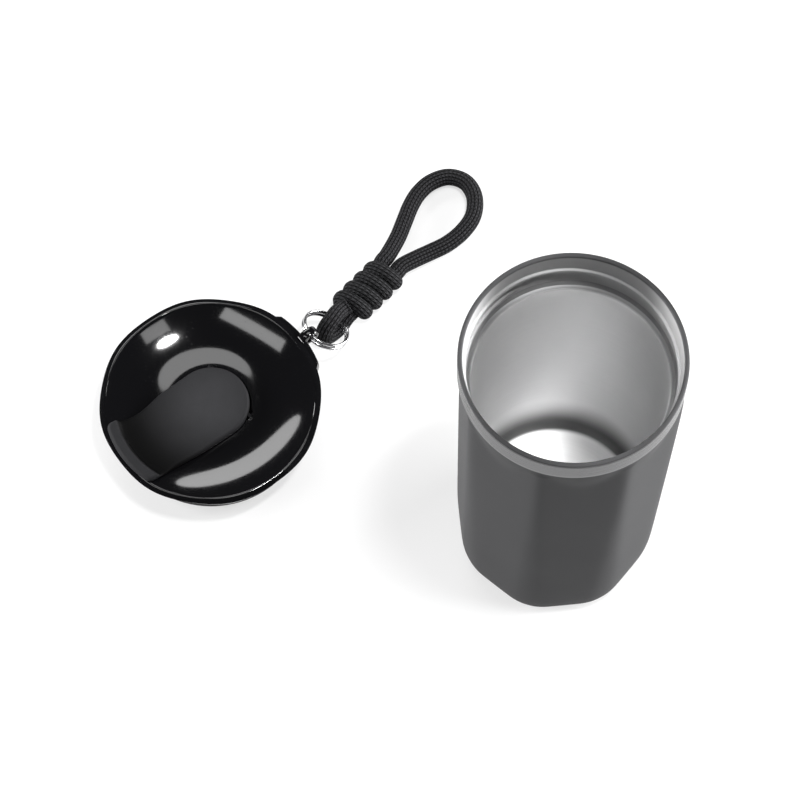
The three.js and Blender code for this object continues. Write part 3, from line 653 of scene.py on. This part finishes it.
def through(route, step):
    """Points about a step apart on the centripetal curve through a route."""
    knots = [Vector(point) for point in route]
    knots = [2 * knots[0] - knots[1], *knots, 2 * knots[-1] - knots[-2]]
    spans = 16
    dense = []
    for i in range(1, len(knots) - 2):
        p0, p1, p2, p3 = knots[i - 1 : i + 3]
        t1 = (p1 - p0).length ** 0.5
        t2 = t1 + (p2 - p1).length ** 0.5
        t3 = t2 + (p3 - p2).length ** 0.5
        for k in range(spans):
            t = mix(t1, t2, k / spans)
            a1 = p0 * ((t1 - t) / t1) + p1 * (t / t1)
            a2 = p1 * ((t2 - t) / (t2 - t1)) + p2 * ((t - t1) / (t2 - t1))
            a3 = p2 * ((t3 - t) / (t3 - t2)) + p3 * ((t - t2) / (t3 - t2))
            b1 = a1 * ((t2 - t) / t2) + a2 * (t / t2)
            b2 = a2 * ((t3 - t) / (t3 - t1)) + a3 * ((t - t1) / (t3 - t1))
            dense.append(b1 * ((t2 - t) / (t2 - t1)) + b2 * ((t - t1) / (t2 - t1)))
    return evenly([*dense, knots[-2]], step)


def evenly(line, step):
    """The same line with its points the same distance apart."""
    reach = [0.0]
    for first, second in zip(line, line[1:]):
        reach.append(reach[-1] + (second - first).length)
    count = max(2, round(reach[-1] / step))
    spaced = []
    i = 0
    for k in range(count + 1):
        want = reach[-1] * k / count
        while i < len(line) - 2 and reach[i + 1] < want:
            i += 1
        spaced.append(line[i].lerp(line[i + 1], (want - reach[i]) / (reach[i + 1] - reach[i])))
    return spaced


def length_of(line):
    return sum((second - first).length for first, second in zip(line, line[1:]))


def tube(name, line, radius, around, uv=False):
    """A round tube along a line, closed at both ends. Its section doesn't twist."""
    last = len(line) - 1
    headings = [(line[min(i + 1, last)] - line[max(i - 1, 0)]).normalized() for i in range(last + 1)]
    side = headings[0].orthogonal().normalized()
    frames = []
    for heading in headings:
        side = (side - heading * side.dot(heading)).normalized()
        frames.append((side, heading.cross(side)))
    pace = length_of(line) / last

    def place(ring, turn):
        at, size = section(ring, last)
        across, up = frames[at]
        return line[at] + across * (radius * size * math.cos(turn)) + up * (radius * size * math.sin(turn))

    def unrolled(ring, share):
        return ring * pace, share

    return loft(name, around, last + 3, place, unrolled if uv else None)


class MUG_OT_camera(bpy.types.Operator):
    """Sets up the camera where the photograph was taken from"""

    bl_idname = "mug.camera"
    bl_label = "Camera"

    def execute(self, context):
        stage = context.scene.mug_stage
        bpy.ops.object.select_all(action="DESELECT")
        bpy.ops.object.camera_add(location=stage.eye, rotation=(stage.tilt, 0, 0))
        camera = context.object
        camera.name = "photo_camera"
        camera.data.sensor_width = 36.0
        camera.data.lens = stage.lens
        camera.data.clip_start = 0.05
        camera.data.clip_end = 20.0
        context.scene.camera = camera
        context.scene.view_settings.view_transform = "Standard"
        return {"FINISHED"}


class MUG_OT_lanyard(bpy.types.Operator):
    """Lays the braided cord and winds its knot"""

    bl_idname = "mug.lanyard"
    bl_label = "Lanyard"

    def execute(self, context):
        sizes = context.scene.mug_lanyard
        braid = braided_cord(context.scene.mug_colours)
        along = Vector((math.cos(KNOT_TURN), math.sin(KNOT_TURN), 0))
        side = Vector((-along.y, along.x, 0))
        up = Vector((0, 0, 1))

        first = KNOT_PLACE + along * 0.009 - side * 0.002
        last = KNOT_PLACE - along * 0.011 + up * 0.0045
        route = [first, *reversed(LOOP_ROUTE), *CORE_ROUTE, *reversed(BIGHT_ROUTE), last]
        low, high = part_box("split_ring")
        nodes = ("lanyard_bight", "lanyard_core", "lanyard_loop")
        self.cord("lanyard_cord", through(route, CORD_STEP), (low + high) / 2, "loose", sizes, braid, nodes)

        half = sizes.turns * sizes.pitch / 2
        steps = int(sizes.turns * 60)
        wrap = []
        for i in range(steps + 1):
            share = 2 * i / steps - 1
            turn = math.pi * (sizes.turns * share + 1)
            draw = 1 - 0.8 * smooth(abs(share), 0.88, 1.0)
            across = side * (sizes.wind * draw * math.sin(turn))
            lift = up * (sizes.wind_height * draw * math.cos(turn))
            wrap.append(KNOT_PLACE + along * (half * share) - across + lift)
        wrap = evenly(wrap, CORD_STEP)
        self.cord("lanyard_wrap", wrap, wrap[0], "coiled", sizes, braid, ("lanyard_knot",))
        return {"FINISHED"}

    def cord(self, name, line, leaves, lay, sizes, braid, nodes):
        """A braided cord along a line. Its length and the place where it leaves the object are worked out and
        not used.
        """
        cord = tube(name, line, sizes.cord, sizes.around, uv=True)
        finished(cord, "lanyard", "braid", braid, *nodes, angle=180.0)
        length_of(line)
        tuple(leaves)
        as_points(line)


class MUG_OT_body(bpy.types.Operator):
    """Forms the eight-sided outer shell with its round neck"""

    bl_idname = "mug.body"
    bl_label = "Body"

    def execute(self, context):
        sizes = context.scene.mug_sizes
        band_bottom = sizes.height - sizes.band
        facet_top = band_bottom - sizes.runout
        flats = sizes.rim - sizes.facet_depth
        corner = sizes.rim - sizes.corner_taper
        corner_room, band_ease = 0.0006, 0.004
        sharpness, corner_power, neck_power = 80, 90, 150

        def radius(turn, z):
            """Flats with round corners, run out into the neck above and drawn in to the foot below."""
            rise = min(z / facet_top, 1.0)
            flat = soft_octagon(turn, flats - sizes.facet_taper * (1 - rise), sizes.facing, sharpness)
            round_ = mix(corner, sizes.rim, rise) + corner_room
            side = (flat**-corner_power + round_**-corner_power) ** (-1 / corner_power)
            neck = min(sizes.rim, flats + sizes.facet_depth * (z - facet_top) / sizes.runout)
            whole = side * (1 + (neck / side) ** neck_power) ** (1 / neck_power)
            under = max(0.0, 1 - z / sizes.foot_height) ** sizes.foot_power
            foot = sizes.foot_width * (1 - (1 - under) ** (1 / sizes.foot_power))
            return mix(whole, neck, smooth(z, band_bottom - band_ease, band_bottom)) - foot

        # Heights of the rings. The first one is the edge of the base plate's hole.
        foot = [0, 0.00004, 0.00015, 0.0004, 0.0008, 0.0014, 0.0022]
        foot += [0.0032, 0.0044, 0.006, 0.008, 0.0105, 0.0135, 0.0165]
        sides = [mix(0.02, facet_top - 0.004, i / 18) for i in range(19)]
        shoulder = [mix(facet_top - 0.003, band_bottom, i / 30) for i in range(31)]
        neck = [band_bottom + 0.0015, sizes.height - 0.004, sizes.height - LIP_HEIGHT]
        heights = [0, *foot, *sides, *shoulder, *neck]

        def place(ring, turn):
            z = heights[ring]
            out = sizes.base_hole if ring == 0 else radius(turn, z)
            return Vector((out * math.cos(turn), out * math.sin(turn), z))

        shell = loft("outer_body", sizes.around, len(heights), place)
        modified(shell, "SOLIDIFY", thickness=sizes.wall, offset=-1.0)
        finish = painted_body(context.scene.mug_colours, band_bottom)
        finished(shell, "mug", "paint", finish, "outer_shell", angle=50.0)
        return {"FINISHED"}


class MUG_OT_liner(bpy.types.Operator):
    """Forms the steel liner with its ledge, screw thread and rolled lip"""

    bl_idname = "mug.liner"
    bl_label = "Liner"

    def execute(self, context):
        sizes = context.scene.mug_sizes
        wall_top = sizes.ledge - 0.0014
        neck_bottom = sizes.ledge + 0.0017
        lip_round, lip_ease = 0.0004, 0.00012
        neck_top = sizes.height - lip_round
        lip = sizes.rim - lip_round
        profile = self.cup(sizes, wall_top)
        profile += [
            (sizes.liner_top + 0.00025, wall_top + 0.0005),
            (sizes.liner_top + 0.0010, wall_top + 0.0010),
            (sizes.liner_top + 0.0015, wall_top + 0.0012),
            (sizes.neck_base - 0.0004, neck_bottom - 0.0009),
        ]
        profile += stretch((sizes.neck_base, neck_bottom), (sizes.neck_top, neck_top), 144)
        profile += [
            (sizes.neck_top + 0.00015, sizes.height - lip_ease),
            (sizes.neck_top + lip_round, sizes.height),
            (lip, sizes.height),
            (sizes.rim - lip_ease, sizes.height - lip_ease),
            (sizes.rim, neck_top),
            (sizes.rim, sizes.height - 0.0012),
            (sizes.rim - 0.0003, sizes.height - LIP_HEIGHT),
            (sizes.neck_top + sizes.wall, sizes.height - LIP_HEIGHT),
        ]

        def place(ring, turn):
            out, z = profile[ring]
            if neck_bottom < z < neck_top and out < lip:
                out -= self.thread(sizes, turn, z)
            return Vector((out * math.cos(turn), out * math.sin(turn), z))

        liner = loft("steel_liner", sizes.around, len(profile), place)
        if liner.data.polygons[0].normal.z < 0:
            edit(liner, (bpy.ops.mesh.flip_normals, {}))
        finish = brushed_liner(context.scene.mug_colours, sizes)
        finished(liner, "mug", "steel", finish, "inner_liner", angle=40.0)
        return {"FINISHED"}

    def cup(self, sizes, wall_top):
        """Profile of the floor, the round at its edge and the wall."""
        flat = sizes.liner_base - sizes.floor_corner
        wall_bottom = sizes.floor + sizes.floor_corner
        profile = stretch((0.0, sizes.floor), (flat, sizes.floor), 14)
        round_ = arc(sizes.floor_corner, -math.pi / 2, 0.0, 12)
        profile += [(flat + point.x, wall_bottom + point.y) for point in round_[1:]]
        return profile + stretch((sizes.liner_base, wall_bottom), (sizes.liner_top, wall_top), 16)[1:]

    def thread(self, sizes, turn, z):
        """How far the thread stands in from the neck."""
        begin, start = math.radians(115), sizes.ledge + 0.0042
        crest_half, foot_half, fade = 0.0006, 0.0015, 0.05
        depth = 0.0
        for lap in range(2):
            run = ((turn - begin) % TAU) / TAU + lap
            middle = start + sizes.thread_pitch * run
            ends = smooth(run, 0.0, fade) * (1 - smooth(run, sizes.thread_turns - fade, sizes.thread_turns))
            depth += ends * (1 - smooth(abs(z - middle), crest_half, foot_half))
        return sizes.thread_depth * min(1.0, depth)


def bowl_height(sizes, out):
    """Height of the lid's dished top at a distance from its axis."""
    share = min(1.0, max(0.0, out - sizes.bowl_flat) / (sizes.bowl - sizes.bowl_flat))
    return sizes.top - sizes.bowl_depth * (1 - share**sizes.bowl_power)


def lid_point(out, turn, z):
    """A point of the lid, from the distance and heading about its axis."""
    return LID_FRAME @ Vector((out * math.cos(turn), out * math.sin(turn), z))


def lid_rod(name, radius, middle, half, lying=False):
    """A round cutter in the lid, upright or lying across it."""
    bpy.ops.object.select_all(action="DESELECT")
    bpy.ops.mesh.primitive_cylinder_add(vertices=64, radius=radius, depth=2 * half, location=(0, 0, 0))
    rod = bpy.context.object
    rod.name = name
    turn = Matrix.Rotation(math.pi / 2, 4, "X") if lying else Matrix.Identity(4)
    rod.data.transform(LID_FRAME @ Matrix.Translation(middle) @ turn)
    return rod


class MUG_OT_lid(bpy.types.Operator):
    """Moulds the lid: dished top, bevelled eight-sided edge, lug and holes"""

    bl_idname = "mug.lid"
    bl_label = "Lid"

    def execute(self, context):
        sizes = context.scene.mug_lid
        rings = self.rings(sizes)

        def place(ring, turn):
            out, z, square = rings[ring]
            return lid_point(mix(out, soft_octagon(turn, out, 0, sizes.softness), square), turn, z)

        shell = loft("lid_body", sizes.around, len(rings), place)
        sip, sip_radius = -0.027, 0.005
        vent, vent_radius = -0.011, 0.0015
        drill = 0.02
        cut(shell, lid_rod("sip_cut", sip_radius, (sip, 0, sizes.top), drill))
        cut(shell, lid_rod("vent_cut", vent_radius, (vent, 0, sizes.top), drill))
        cut(shell, self.pocket(sizes))

        boss = self.boss(sizes)
        lug = self.lug(sizes)
        pick(shell)
        boss.select_set(True)
        lug.select_set(True)
        bpy.ops.object.join()
        finish = moulded_gloss(context.scene.mug_colours)
        finished(shell, "lid", "gloss_black", finish, "lid_shell", angle=32.0)
        return {"FINISHED"}

    def rings(self, sizes):
        """Each ring's distance from the axis, its height and how eight-sided it is, from 0 to 1."""
        floor = sizes.top - sizes.bowl_depth
        top_edge = sizes.inradius - sizes.bevel
        edge_z = sizes.top - sizes.bevel_drop
        ceiling = sizes.top - 0.0046
        inner = sizes.foot - 0.0024
        rings = [(out, floor, 0) for out in (0, 0.006, 0.012)]
        bowl = [mix(0.0155, sizes.bowl, i / 26) for i in range(27)]
        rings += [(out, bowl_height(sizes, out), 0) for out in bowl]
        rings += [
            (sizes.bowl + 0.00012, sizes.top + 0.0001, 0.1),
            (sizes.bowl + 0.0003, sizes.top + 0.00012, 0.5),
            (top_edge - 0.00005, sizes.top + 0.00002, 1),
            (top_edge + 0.00005, sizes.top - 0.00004, 1),
        ]
        for share in (0.12, 0.45, 0.9, 1.0):
            rings.append((mix(top_edge, sizes.inradius, share), mix(sizes.top, edge_z, share), 1))
        return rings + [
            (sizes.inradius - 0.0004, edge_z - 0.0005, 1),
            (mix(sizes.inradius, sizes.foot, 0.5), mix(edge_z, sizes.skirt, 0.5), 1),
            (sizes.foot + 0.0002, sizes.skirt + 0.0005, 1),
            (sizes.foot - 0.0003, sizes.skirt, 1),
            (inner, sizes.skirt, 0),
            (inner, ceiling, 0),
            (0.033, ceiling, 0),
            (0.025, floor - 0.0009, 0),
            (sizes.bowl_flat, floor - sizes.wall, 0),
            (0, floor - sizes.wall, 0),
        ]

    def pocket(self, sizes):
        """The space that the flip cover's round end sweeps."""
        edge_rise, clearance, half = 0.0020, 0.0004, 0.0122
        last = 16

        def place(ring, turn):
            at, size = section(ring, last)
            across = half * (2 * at / last - 1)
            ahead = max(0.0, math.sqrt(sizes.flip_half**2 - across**2) - sizes.hinge)
            out = (math.hypot(ahead, edge_rise) + clearance) * size
            x = sizes.hinge + out * math.cos(turn)
            return LID_FRAME @ Vector((x, across, sizes.hinge_height + out * math.sin(turn)))

        return loft("pocket_cut", 48, last + 3, place)

    def boss(self, sizes):
        """The thickened side that carries the lug. Its ends run out into the lid's edge."""
        half = 0.015
        reach = math.asin(half / sizes.boss)
        low, high = sizes.skirt + 0.002, sizes.top - 0.0008
        near, edge = sizes.bowl + 0.0006, sizes.inradius + 0.0002
        squareness = 0.32
        last = 24

        def place(ring, turn):
            at, size = section(ring, last)
            share = 2 * at / last - 1
            waves = (math.cos(turn), math.sin(turn))
            across, up = [math.copysign(abs(wave) ** squareness, wave) * size for wave in waves]
            far = mix(sizes.boss, edge, smooth(abs(share), 0.84, 1.0))
            out = (near + far) / 2 + across * (far - near) / 2
            return lid_point(out, reach * share, (low + high) / 2 + up * (high - low) / 2)

        return loft("lid_boss", 40, last + 3, place)

    def lug(self, sizes):
        """The eye for the ring, rounded at its end and drilled across."""
        half, root, hole, drill = 0.0019, 0.0055, 0.0023, 0.01
        layers = [(-half, 0.0), (-half, 0.75), (-half * 0.93, 0.93), (-half * 0.7, 1.0)]
        layers += [(-across, grow) for across, grow in reversed(layers)]

        def place(ring, turn):
            across, grow = layers[ring]
            reach = root if math.cos(turn) < 0 else sizes.lug_radius
            x = sizes.lug + reach * grow * math.cos(turn)
            z = sizes.lug_height + sizes.lug_radius * grow * math.sin(turn)
            return LID_FRAME @ Vector((x, across, z))

        lug = loft("lid_lug", 48, len(layers), place)
        cut(lug, lid_rod("lug_cut", hole, (sizes.lug, 0, sizes.lug_height), drill, lying=True))
        return lug


class MUG_OT_plug(bpy.types.Operator):
    """Turns the screw plug under the lid, with its seal"""

    bl_idname = "mug.plug"
    bl_label = "Screw plug"

    def execute(self, context):
        sizes = context.scene.mug_lid
        colours = context.scene.mug_colours
        around = sizes.around // 2
        collar = sizes.foot - 0.0027
        shoulder = sizes.top - 0.0049
        outer = sizes.plug
        inside = outer - 0.0023
        groove = outer - 0.0012
        low, high = 0.002, 0.005
        thread_low = high + 0.0003
        profile = [(inside, shoulder), (inside, 0.0), (outer - 0.0008, 0.0), (outer - 0.0002, 0.0002)]
        profile += [(outer, 0.0008), (outer, low), (groove, low), (groove, high), (outer, high)]
        profile += stretch((outer, thread_low), (outer, sizes.skirt), 30)
        profile += [(collar, sizes.skirt), (collar, shoulder), (inside, shoulder)]

        def place(ring, turn):
            out, z = profile[ring]
            if out == outer and z >= thread_low:
                out += self.thread(z - high, turn)
            return lid_point(out, turn, z)

        plug = loft("screw_plug", around, len(profile), place)
        satin = moulded_satin("satin_black_plug", colours, 0.4)
        finished(plug, "lid", "satin_black", satin, "lid_plug", angle=40.0)

        gap = 0.0003
        lower = [(groove + gap, low + gap), (outer + gap, low + gap), (outer + 0.00085, low + 0.0007)]
        upper = [(out, low + high - z) for out, z in reversed(lower)]
        seal = [*lower, (outer + 0.0011, (low + high) / 2), *upper, lower[0]]

        def seal_place(ring, turn):
            out, z = seal[ring]
            return lid_point(out, turn, z)

        ring = loft("neck_seal", around, len(seal), seal_place)
        finished(ring, "lid", "silicone", soft_silicone(colours), "lid_seal", angle=50.0)
        return {"FINISHED"}

    def thread(self, z, turn):
        """How far the plug's thread stands out at a height above its groove."""
        depth, half, start, pitch = 0.0009, 0.0009, 0.0026, 0.006
        run = (turn % TAU) / TAU
        ends = smooth(run, 0.0, 0.06) * (1 - smooth(run, 0.89, 0.95))
        return depth * ends * math.exp(-(((z - start - pitch * run) / half) ** 2))


class MUG_OT_flip(bpy.types.Operator):
    """Moulds the flip cover over the drinking hole"""

    bl_idname = "mug.flip"
    bl_label = "Flip cover"

    def execute(self, context):
        sizes = context.scene.mug_lid
        outline = self.outline(sizes)
        layers = self.layers()
        count = len(outline)
        grip_middle = -0.029

        def place(ring, turn):
            inset, level = layers[ring]
            share = turn / TAU * count
            first = outline[int(share) % count]
            edge = first.lerp(outline[(int(share) + 1) % count], share - int(share))
            inwards = Vector((min(0.0, max(grip_middle, edge.x)), 0.0)) - edge
            x, y = edge + inwards * min(1.0, inset / inwards.length)
            return LID_FRAME @ Vector((x, y, mix(self.under(sizes, x, y), self.over(sizes, x, y), level)))

        cover = loft("flip_plate", 240, len(layers), place)
        hinge = (sizes.hinge, 0, sizes.hinge_height)
        barrel, barrel_half = 0.0026, 0.008
        cut(cover, lid_rod("flip_barrel", barrel, hinge, barrel_half, lying=True), "UNION")
        finish = satin_with_painted_shade(context.scene.mug_colours)
        finished(cover, "flip", "satin_black", finish, "flip_cover", angle=40.0)
        return {"FINISHED"}

    def under(self, sizes, x, y):
        """Height of the cover's underside, which follows the bowl."""
        return bowl_height(sizes, math.hypot(x, y)) + sizes.flip_lift

    def over(self, sizes, x, y):
        """Height of the cover's top: a plate with a scoop for the thumb, and a level lip beyond it."""
        out = math.hypot(x, y)
        grip = smooth(-x, 0.008, 0.022)
        scoop_depth, lip_rise, lip_fall, ease = 0.0016, 0.0027, 0.0007, 0.0002
        beyond = smooth(out, THUMB_LIP_FOOT - ease, THUMB_LIP_CREST - ease)
        scoop = scoop_depth * smooth(out, 0.0255, 0.0345) * (1 - beyond)
        plate = self.under(sizes, x, y) + sizes.flip_thickness - grip * scoop
        lip = sizes.top + lip_rise - lip_fall * smooth(out, 0.0404, sizes.flip_reach)
        return mix(plate, lip, grip * smooth(out, THUMB_LIP_FOOT, THUMB_LIP_CREST))

    def layers(self):
        """Each ring's inset from the outline, and its level from the underside, 0, to the top, 1."""
        whole = 1.0
        underside = [(inset, 0.0) for inset in (whole, 0.009, 0.004, 0.0012, 0.0003)]
        side = [(0.0, level) for level in (0.12, 0.4, 0.5)]
        edge = [(0.00008, 0.64), (0.00024, 0.76), (0.0005, 0.87), (0.0009, 0.96), (0.0014, 1.0)]
        top = [(0.002 + 0.0007 * i, 1.0) for i in range(18)]
        return [*underside, *side, *edge, *top, (whole, 1.0)]

    def waist(self, x):
        """Where the edge draws in ahead of the grip, from 0 to 1."""
        return smooth(-x, 0.012, 0.0255) * (1 - smooth(-x, 0.0265, 0.0375))

    def outline(self, sizes):
        """Edge of the flip cover seen from above, counterclockwise from its round end."""
        upper_waist, lower_waist = 0.002, 0.0004
        corner_round = 0.0022
        half = arc(sizes.flip_half, 0.0, math.pi / 2, 30)
        corner = Vector((-math.sqrt(sizes.flip_reach**2 - sizes.flip_end**2), sizes.flip_end))
        side = half[-1]
        run = (corner - side).length - corner_round
        straight = (corner - side).normalized() * run
        half += [side + straight * (i / 24) for i in range(1, 25)]
        begin = half[-1]
        stop = math.atan2(corner.y, corner.x) + corner_round / sizes.flip_reach
        edge = arc(sizes.flip_reach, stop, math.pi, 14)
        for i in range(1, 9):
            share = i / 8
            half.append(begin * (1 - share) ** 2 + corner * (2 * share * (1 - share)) + edge[0] * share**2)
        half += edge[1:]
        whole = [Vector((p.x, p.y - upper_waist * self.waist(p.x), 0)) for p in half]
        whole += [Vector((p.x, lower_waist * self.waist(p.x) - p.y, 0)) for p in reversed(half[1:-1])]
        return [p.to_2d() for p in evenly([*whole, whole[0]], 0.0004)[:-1]]


class MUG_OT_ring(bpy.types.Operator):
    """Winds the chromed split ring through the lug"""

    bl_idname = "mug.ring"
    bl_label = "Split ring"

    def execute(self, context):
        sizes = context.scene.mug_lid
        # The cord passes through the ring at this height above the table.
        eye = 0.0092
        turns = 1.94
        tilt = math.asin((sizes.lug_height - eye) / (2 * sizes.ring))
        out = Vector((math.cos(tilt), 0, -math.sin(tilt)))
        axis = Vector((math.sin(tilt), 0, math.cos(tilt)))
        side = Vector((0, 1, 0))
        middle = Vector((sizes.lug, 0, sizes.lug_height)) + out * sizes.ring
        steps = 240
        line = []
        for i in range(steps + 1):
            turn = turns * (i / steps - 0.5)
            point = middle + (out * math.cos(TAU * turn) + side * math.sin(TAU * turn)) * sizes.ring
            line.append(LID_FRAME @ (point + axis * (sizes.ring_pitch * turn)))
        ring = tube("ring_wire", line, sizes.wire, 16)
        chrome = plain_metal("chromed_wire", context.scene.mug_colours.chrome, 0.12, (60, 60, 60))
        finished(ring, "ring", "chrome", chrome, "split_ring", angle=60.0)
        return {"FINISHED"}


class MUG_OT_hidden(bpy.types.Operator):
    """Gives the carried-over solids their finishes"""

    bl_idname = "mug.hidden"
    bl_label = "Inner pieces"

    def execute(self, context):
        colours = context.scene.mug_colours
        steel = plain_metal("rolled_steel", colours.steel, 0.32, (1800, 40, 40))
        silicone = soft_silicone(colours)
        finishes = {
            "radiation_foil": plain_metal("bright_foil", (0.8, 0.8, 0.81), 0.16, (90, 90, 900)),
            "vacuum_closure": steel,
            "seal_bead": solder_glass(),
            "getter": plain_metal("getter_alloy", (0.2, 0.2, 0.21), 0.55, (1200, 1200, 1200)),
            "base_plate": steel,
            "lid_plate": moulded_satin("satin_black_plate", colours, 0.42),
            "flip_pin": plain_metal("blackened_pin", (0.012, 0.012, 0.013), 0.45, (900, 900, 60)),
            "sip_stopper": silicone,
            "vent_stopper": silicone,
        }
        for name, material in finishes.items():
            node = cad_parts[name]
            node.data.materials.clear()
            node.data.materials.append(material)
        return {"FINISHED"}


class MUG_OT_stage(bpy.types.Operator):
    """Lays the floor and sets the lights"""

    bl_idname = "mug.stage"
    bl_label = "Stage"

    def execute(self, context):
        stage = context.scene.mug_stage
        table_gap = 0.00005
        bpy.ops.object.select_all(action="DESELECT")
        bpy.ops.mesh.primitive_plane_add(size=8.0, location=(0, 0, -table_gap))
        floor = context.object
        floor.name = "table"
        floor.data.materials.append(pale_floor(context.scene.mug_colours))

        self.lamp("overhead_box", stage.overhead, (102, 78), wide=0.73, tall=0.5, shape="ELLIPSE")
        self.lamp("strip_box", stage.strip, (-158, 66.5), wide=0.85, tall=0.17, heading=148)
        self.lamp("far_panel", stage.far, (112, 40), wide=1.45, tall=0.34, heading=42, shape="ELLIPSE")
        self.lamp("small_box", stage.small, (-25, 71), wide=0.34, tall=0.18, heading=35)
        self.lamp("bare_lamp", stage.glint, (-16, 78.4), wide=0.25, tall=0.12, heading=32, shape="ELLIPSE")
        self.lamp("right_box", stage.right, (10, 12), wide=1.6, tall=0.6, heading=100)
        self.lamp("left_box", stage.left, (175, 12), wide=1.6, tall=0.6, heading=85)

        world = context.scene.world or bpy.data.worlds.new("room")
        context.scene.world = world
        world.use_nodes = True
        room = world.node_tree.nodes["Background"]
        room.inputs["Color"].default_value = (1, 1, 1, 1)
        room.inputs["Strength"].default_value = stage.ambient
        return {"FINISHED"}

    def lamp(self, name, brightness, place, wide, tall, heading=0, shape="RECTANGLE"):
        """An area lamp that faces the object, its wide side along a heading. 0 is to the right, 90 away.

        Its place is its heading from the object and its angle above the table.
        """
        lit, distance = Vector((-0.06, 0.04, 0.03)), 1.7
        around, up, along = (math.radians(angle) for angle in (*place, heading))
        back = Vector((math.cos(around) * math.cos(up), math.sin(around) * math.cos(up), math.sin(up)))
        across = Vector((math.cos(along), math.sin(along), 0))
        across = (across - back * across.dot(back)).normalized()
        facing = Matrix((across, back.cross(across), back)).transposed().to_euler()
        bpy.ops.object.select_all(action="DESELECT")
        bpy.ops.object.light_add(type="AREA", location=lit + back * distance, rotation=facing)
        lamp = bpy.context.object
        lamp.name = name
        lamp.data.shape = shape
        lamp.data.size = wide
        lamp.data.size_y = tall
        area = wide * tall * (math.pi / 4 if shape == "ELLIPSE" else 1.0)
        lamp.data.energy = brightness * math.pi * area


class MUG_PT_panel(bpy.types.Panel):
    """Lists the pieces of the mug"""

    bl_idname = "MUG_PT_panel"
    bl_label = "Insulated mug"
    bl_space_type = "VIEW_3D"
    bl_region_type = "UI"
    bl_category = "Mug"

    def draw(self, context):
        for operator in OPERATORS:
            self.layout.operator(operator.bl_idname)


GROUPS = {
    "mug_sizes": MugSizes,
    "mug_lid": LidSizes,
    "mug_lanyard": LanyardSizes,
    "mug_colours": Colours,
    "mug_stage": StageSizes,
}
OPERATORS = [
    MUG_OT_camera,
    MUG_OT_lanyard,
    MUG_OT_body,
    MUG_OT_liner,
    MUG_OT_lid,
    MUG_OT_plug,
    MUG_OT_flip,
    MUG_OT_ring,
    MUG_OT_hidden,
    MUG_OT_stage,
]


def register():
    for made in [*GROUPS.values(), *OPERATORS, MUG_PT_panel]:
        bpy.utils.register_class(made)
    for name, group in GROUPS.items():
        setattr(bpy.types.Scene, name, PointerProperty(type=group))


def unregister():
    for name in GROUPS:
        delattr(bpy.types.Scene, name)
    for made in [MUG_PT_panel, *OPERATORS, *GROUPS.values()]:
        bpy.utils.unregister_class(made)


def main():
    register()
    bpy.ops.mug.camera()
    bpy.ops.mug.lanyard()
    bpy.ops.mug.body()
    bpy.ops.mug.liner()
    bpy.ops.mug.lid()
    bpy.ops.mug.plug()
    bpy.ops.mug.flip()
    bpy.ops.mug.ring()
    bpy.ops.mug.hidden()
    bpy.ops.mug.stage()


if __name__ == "__main__":
    main()
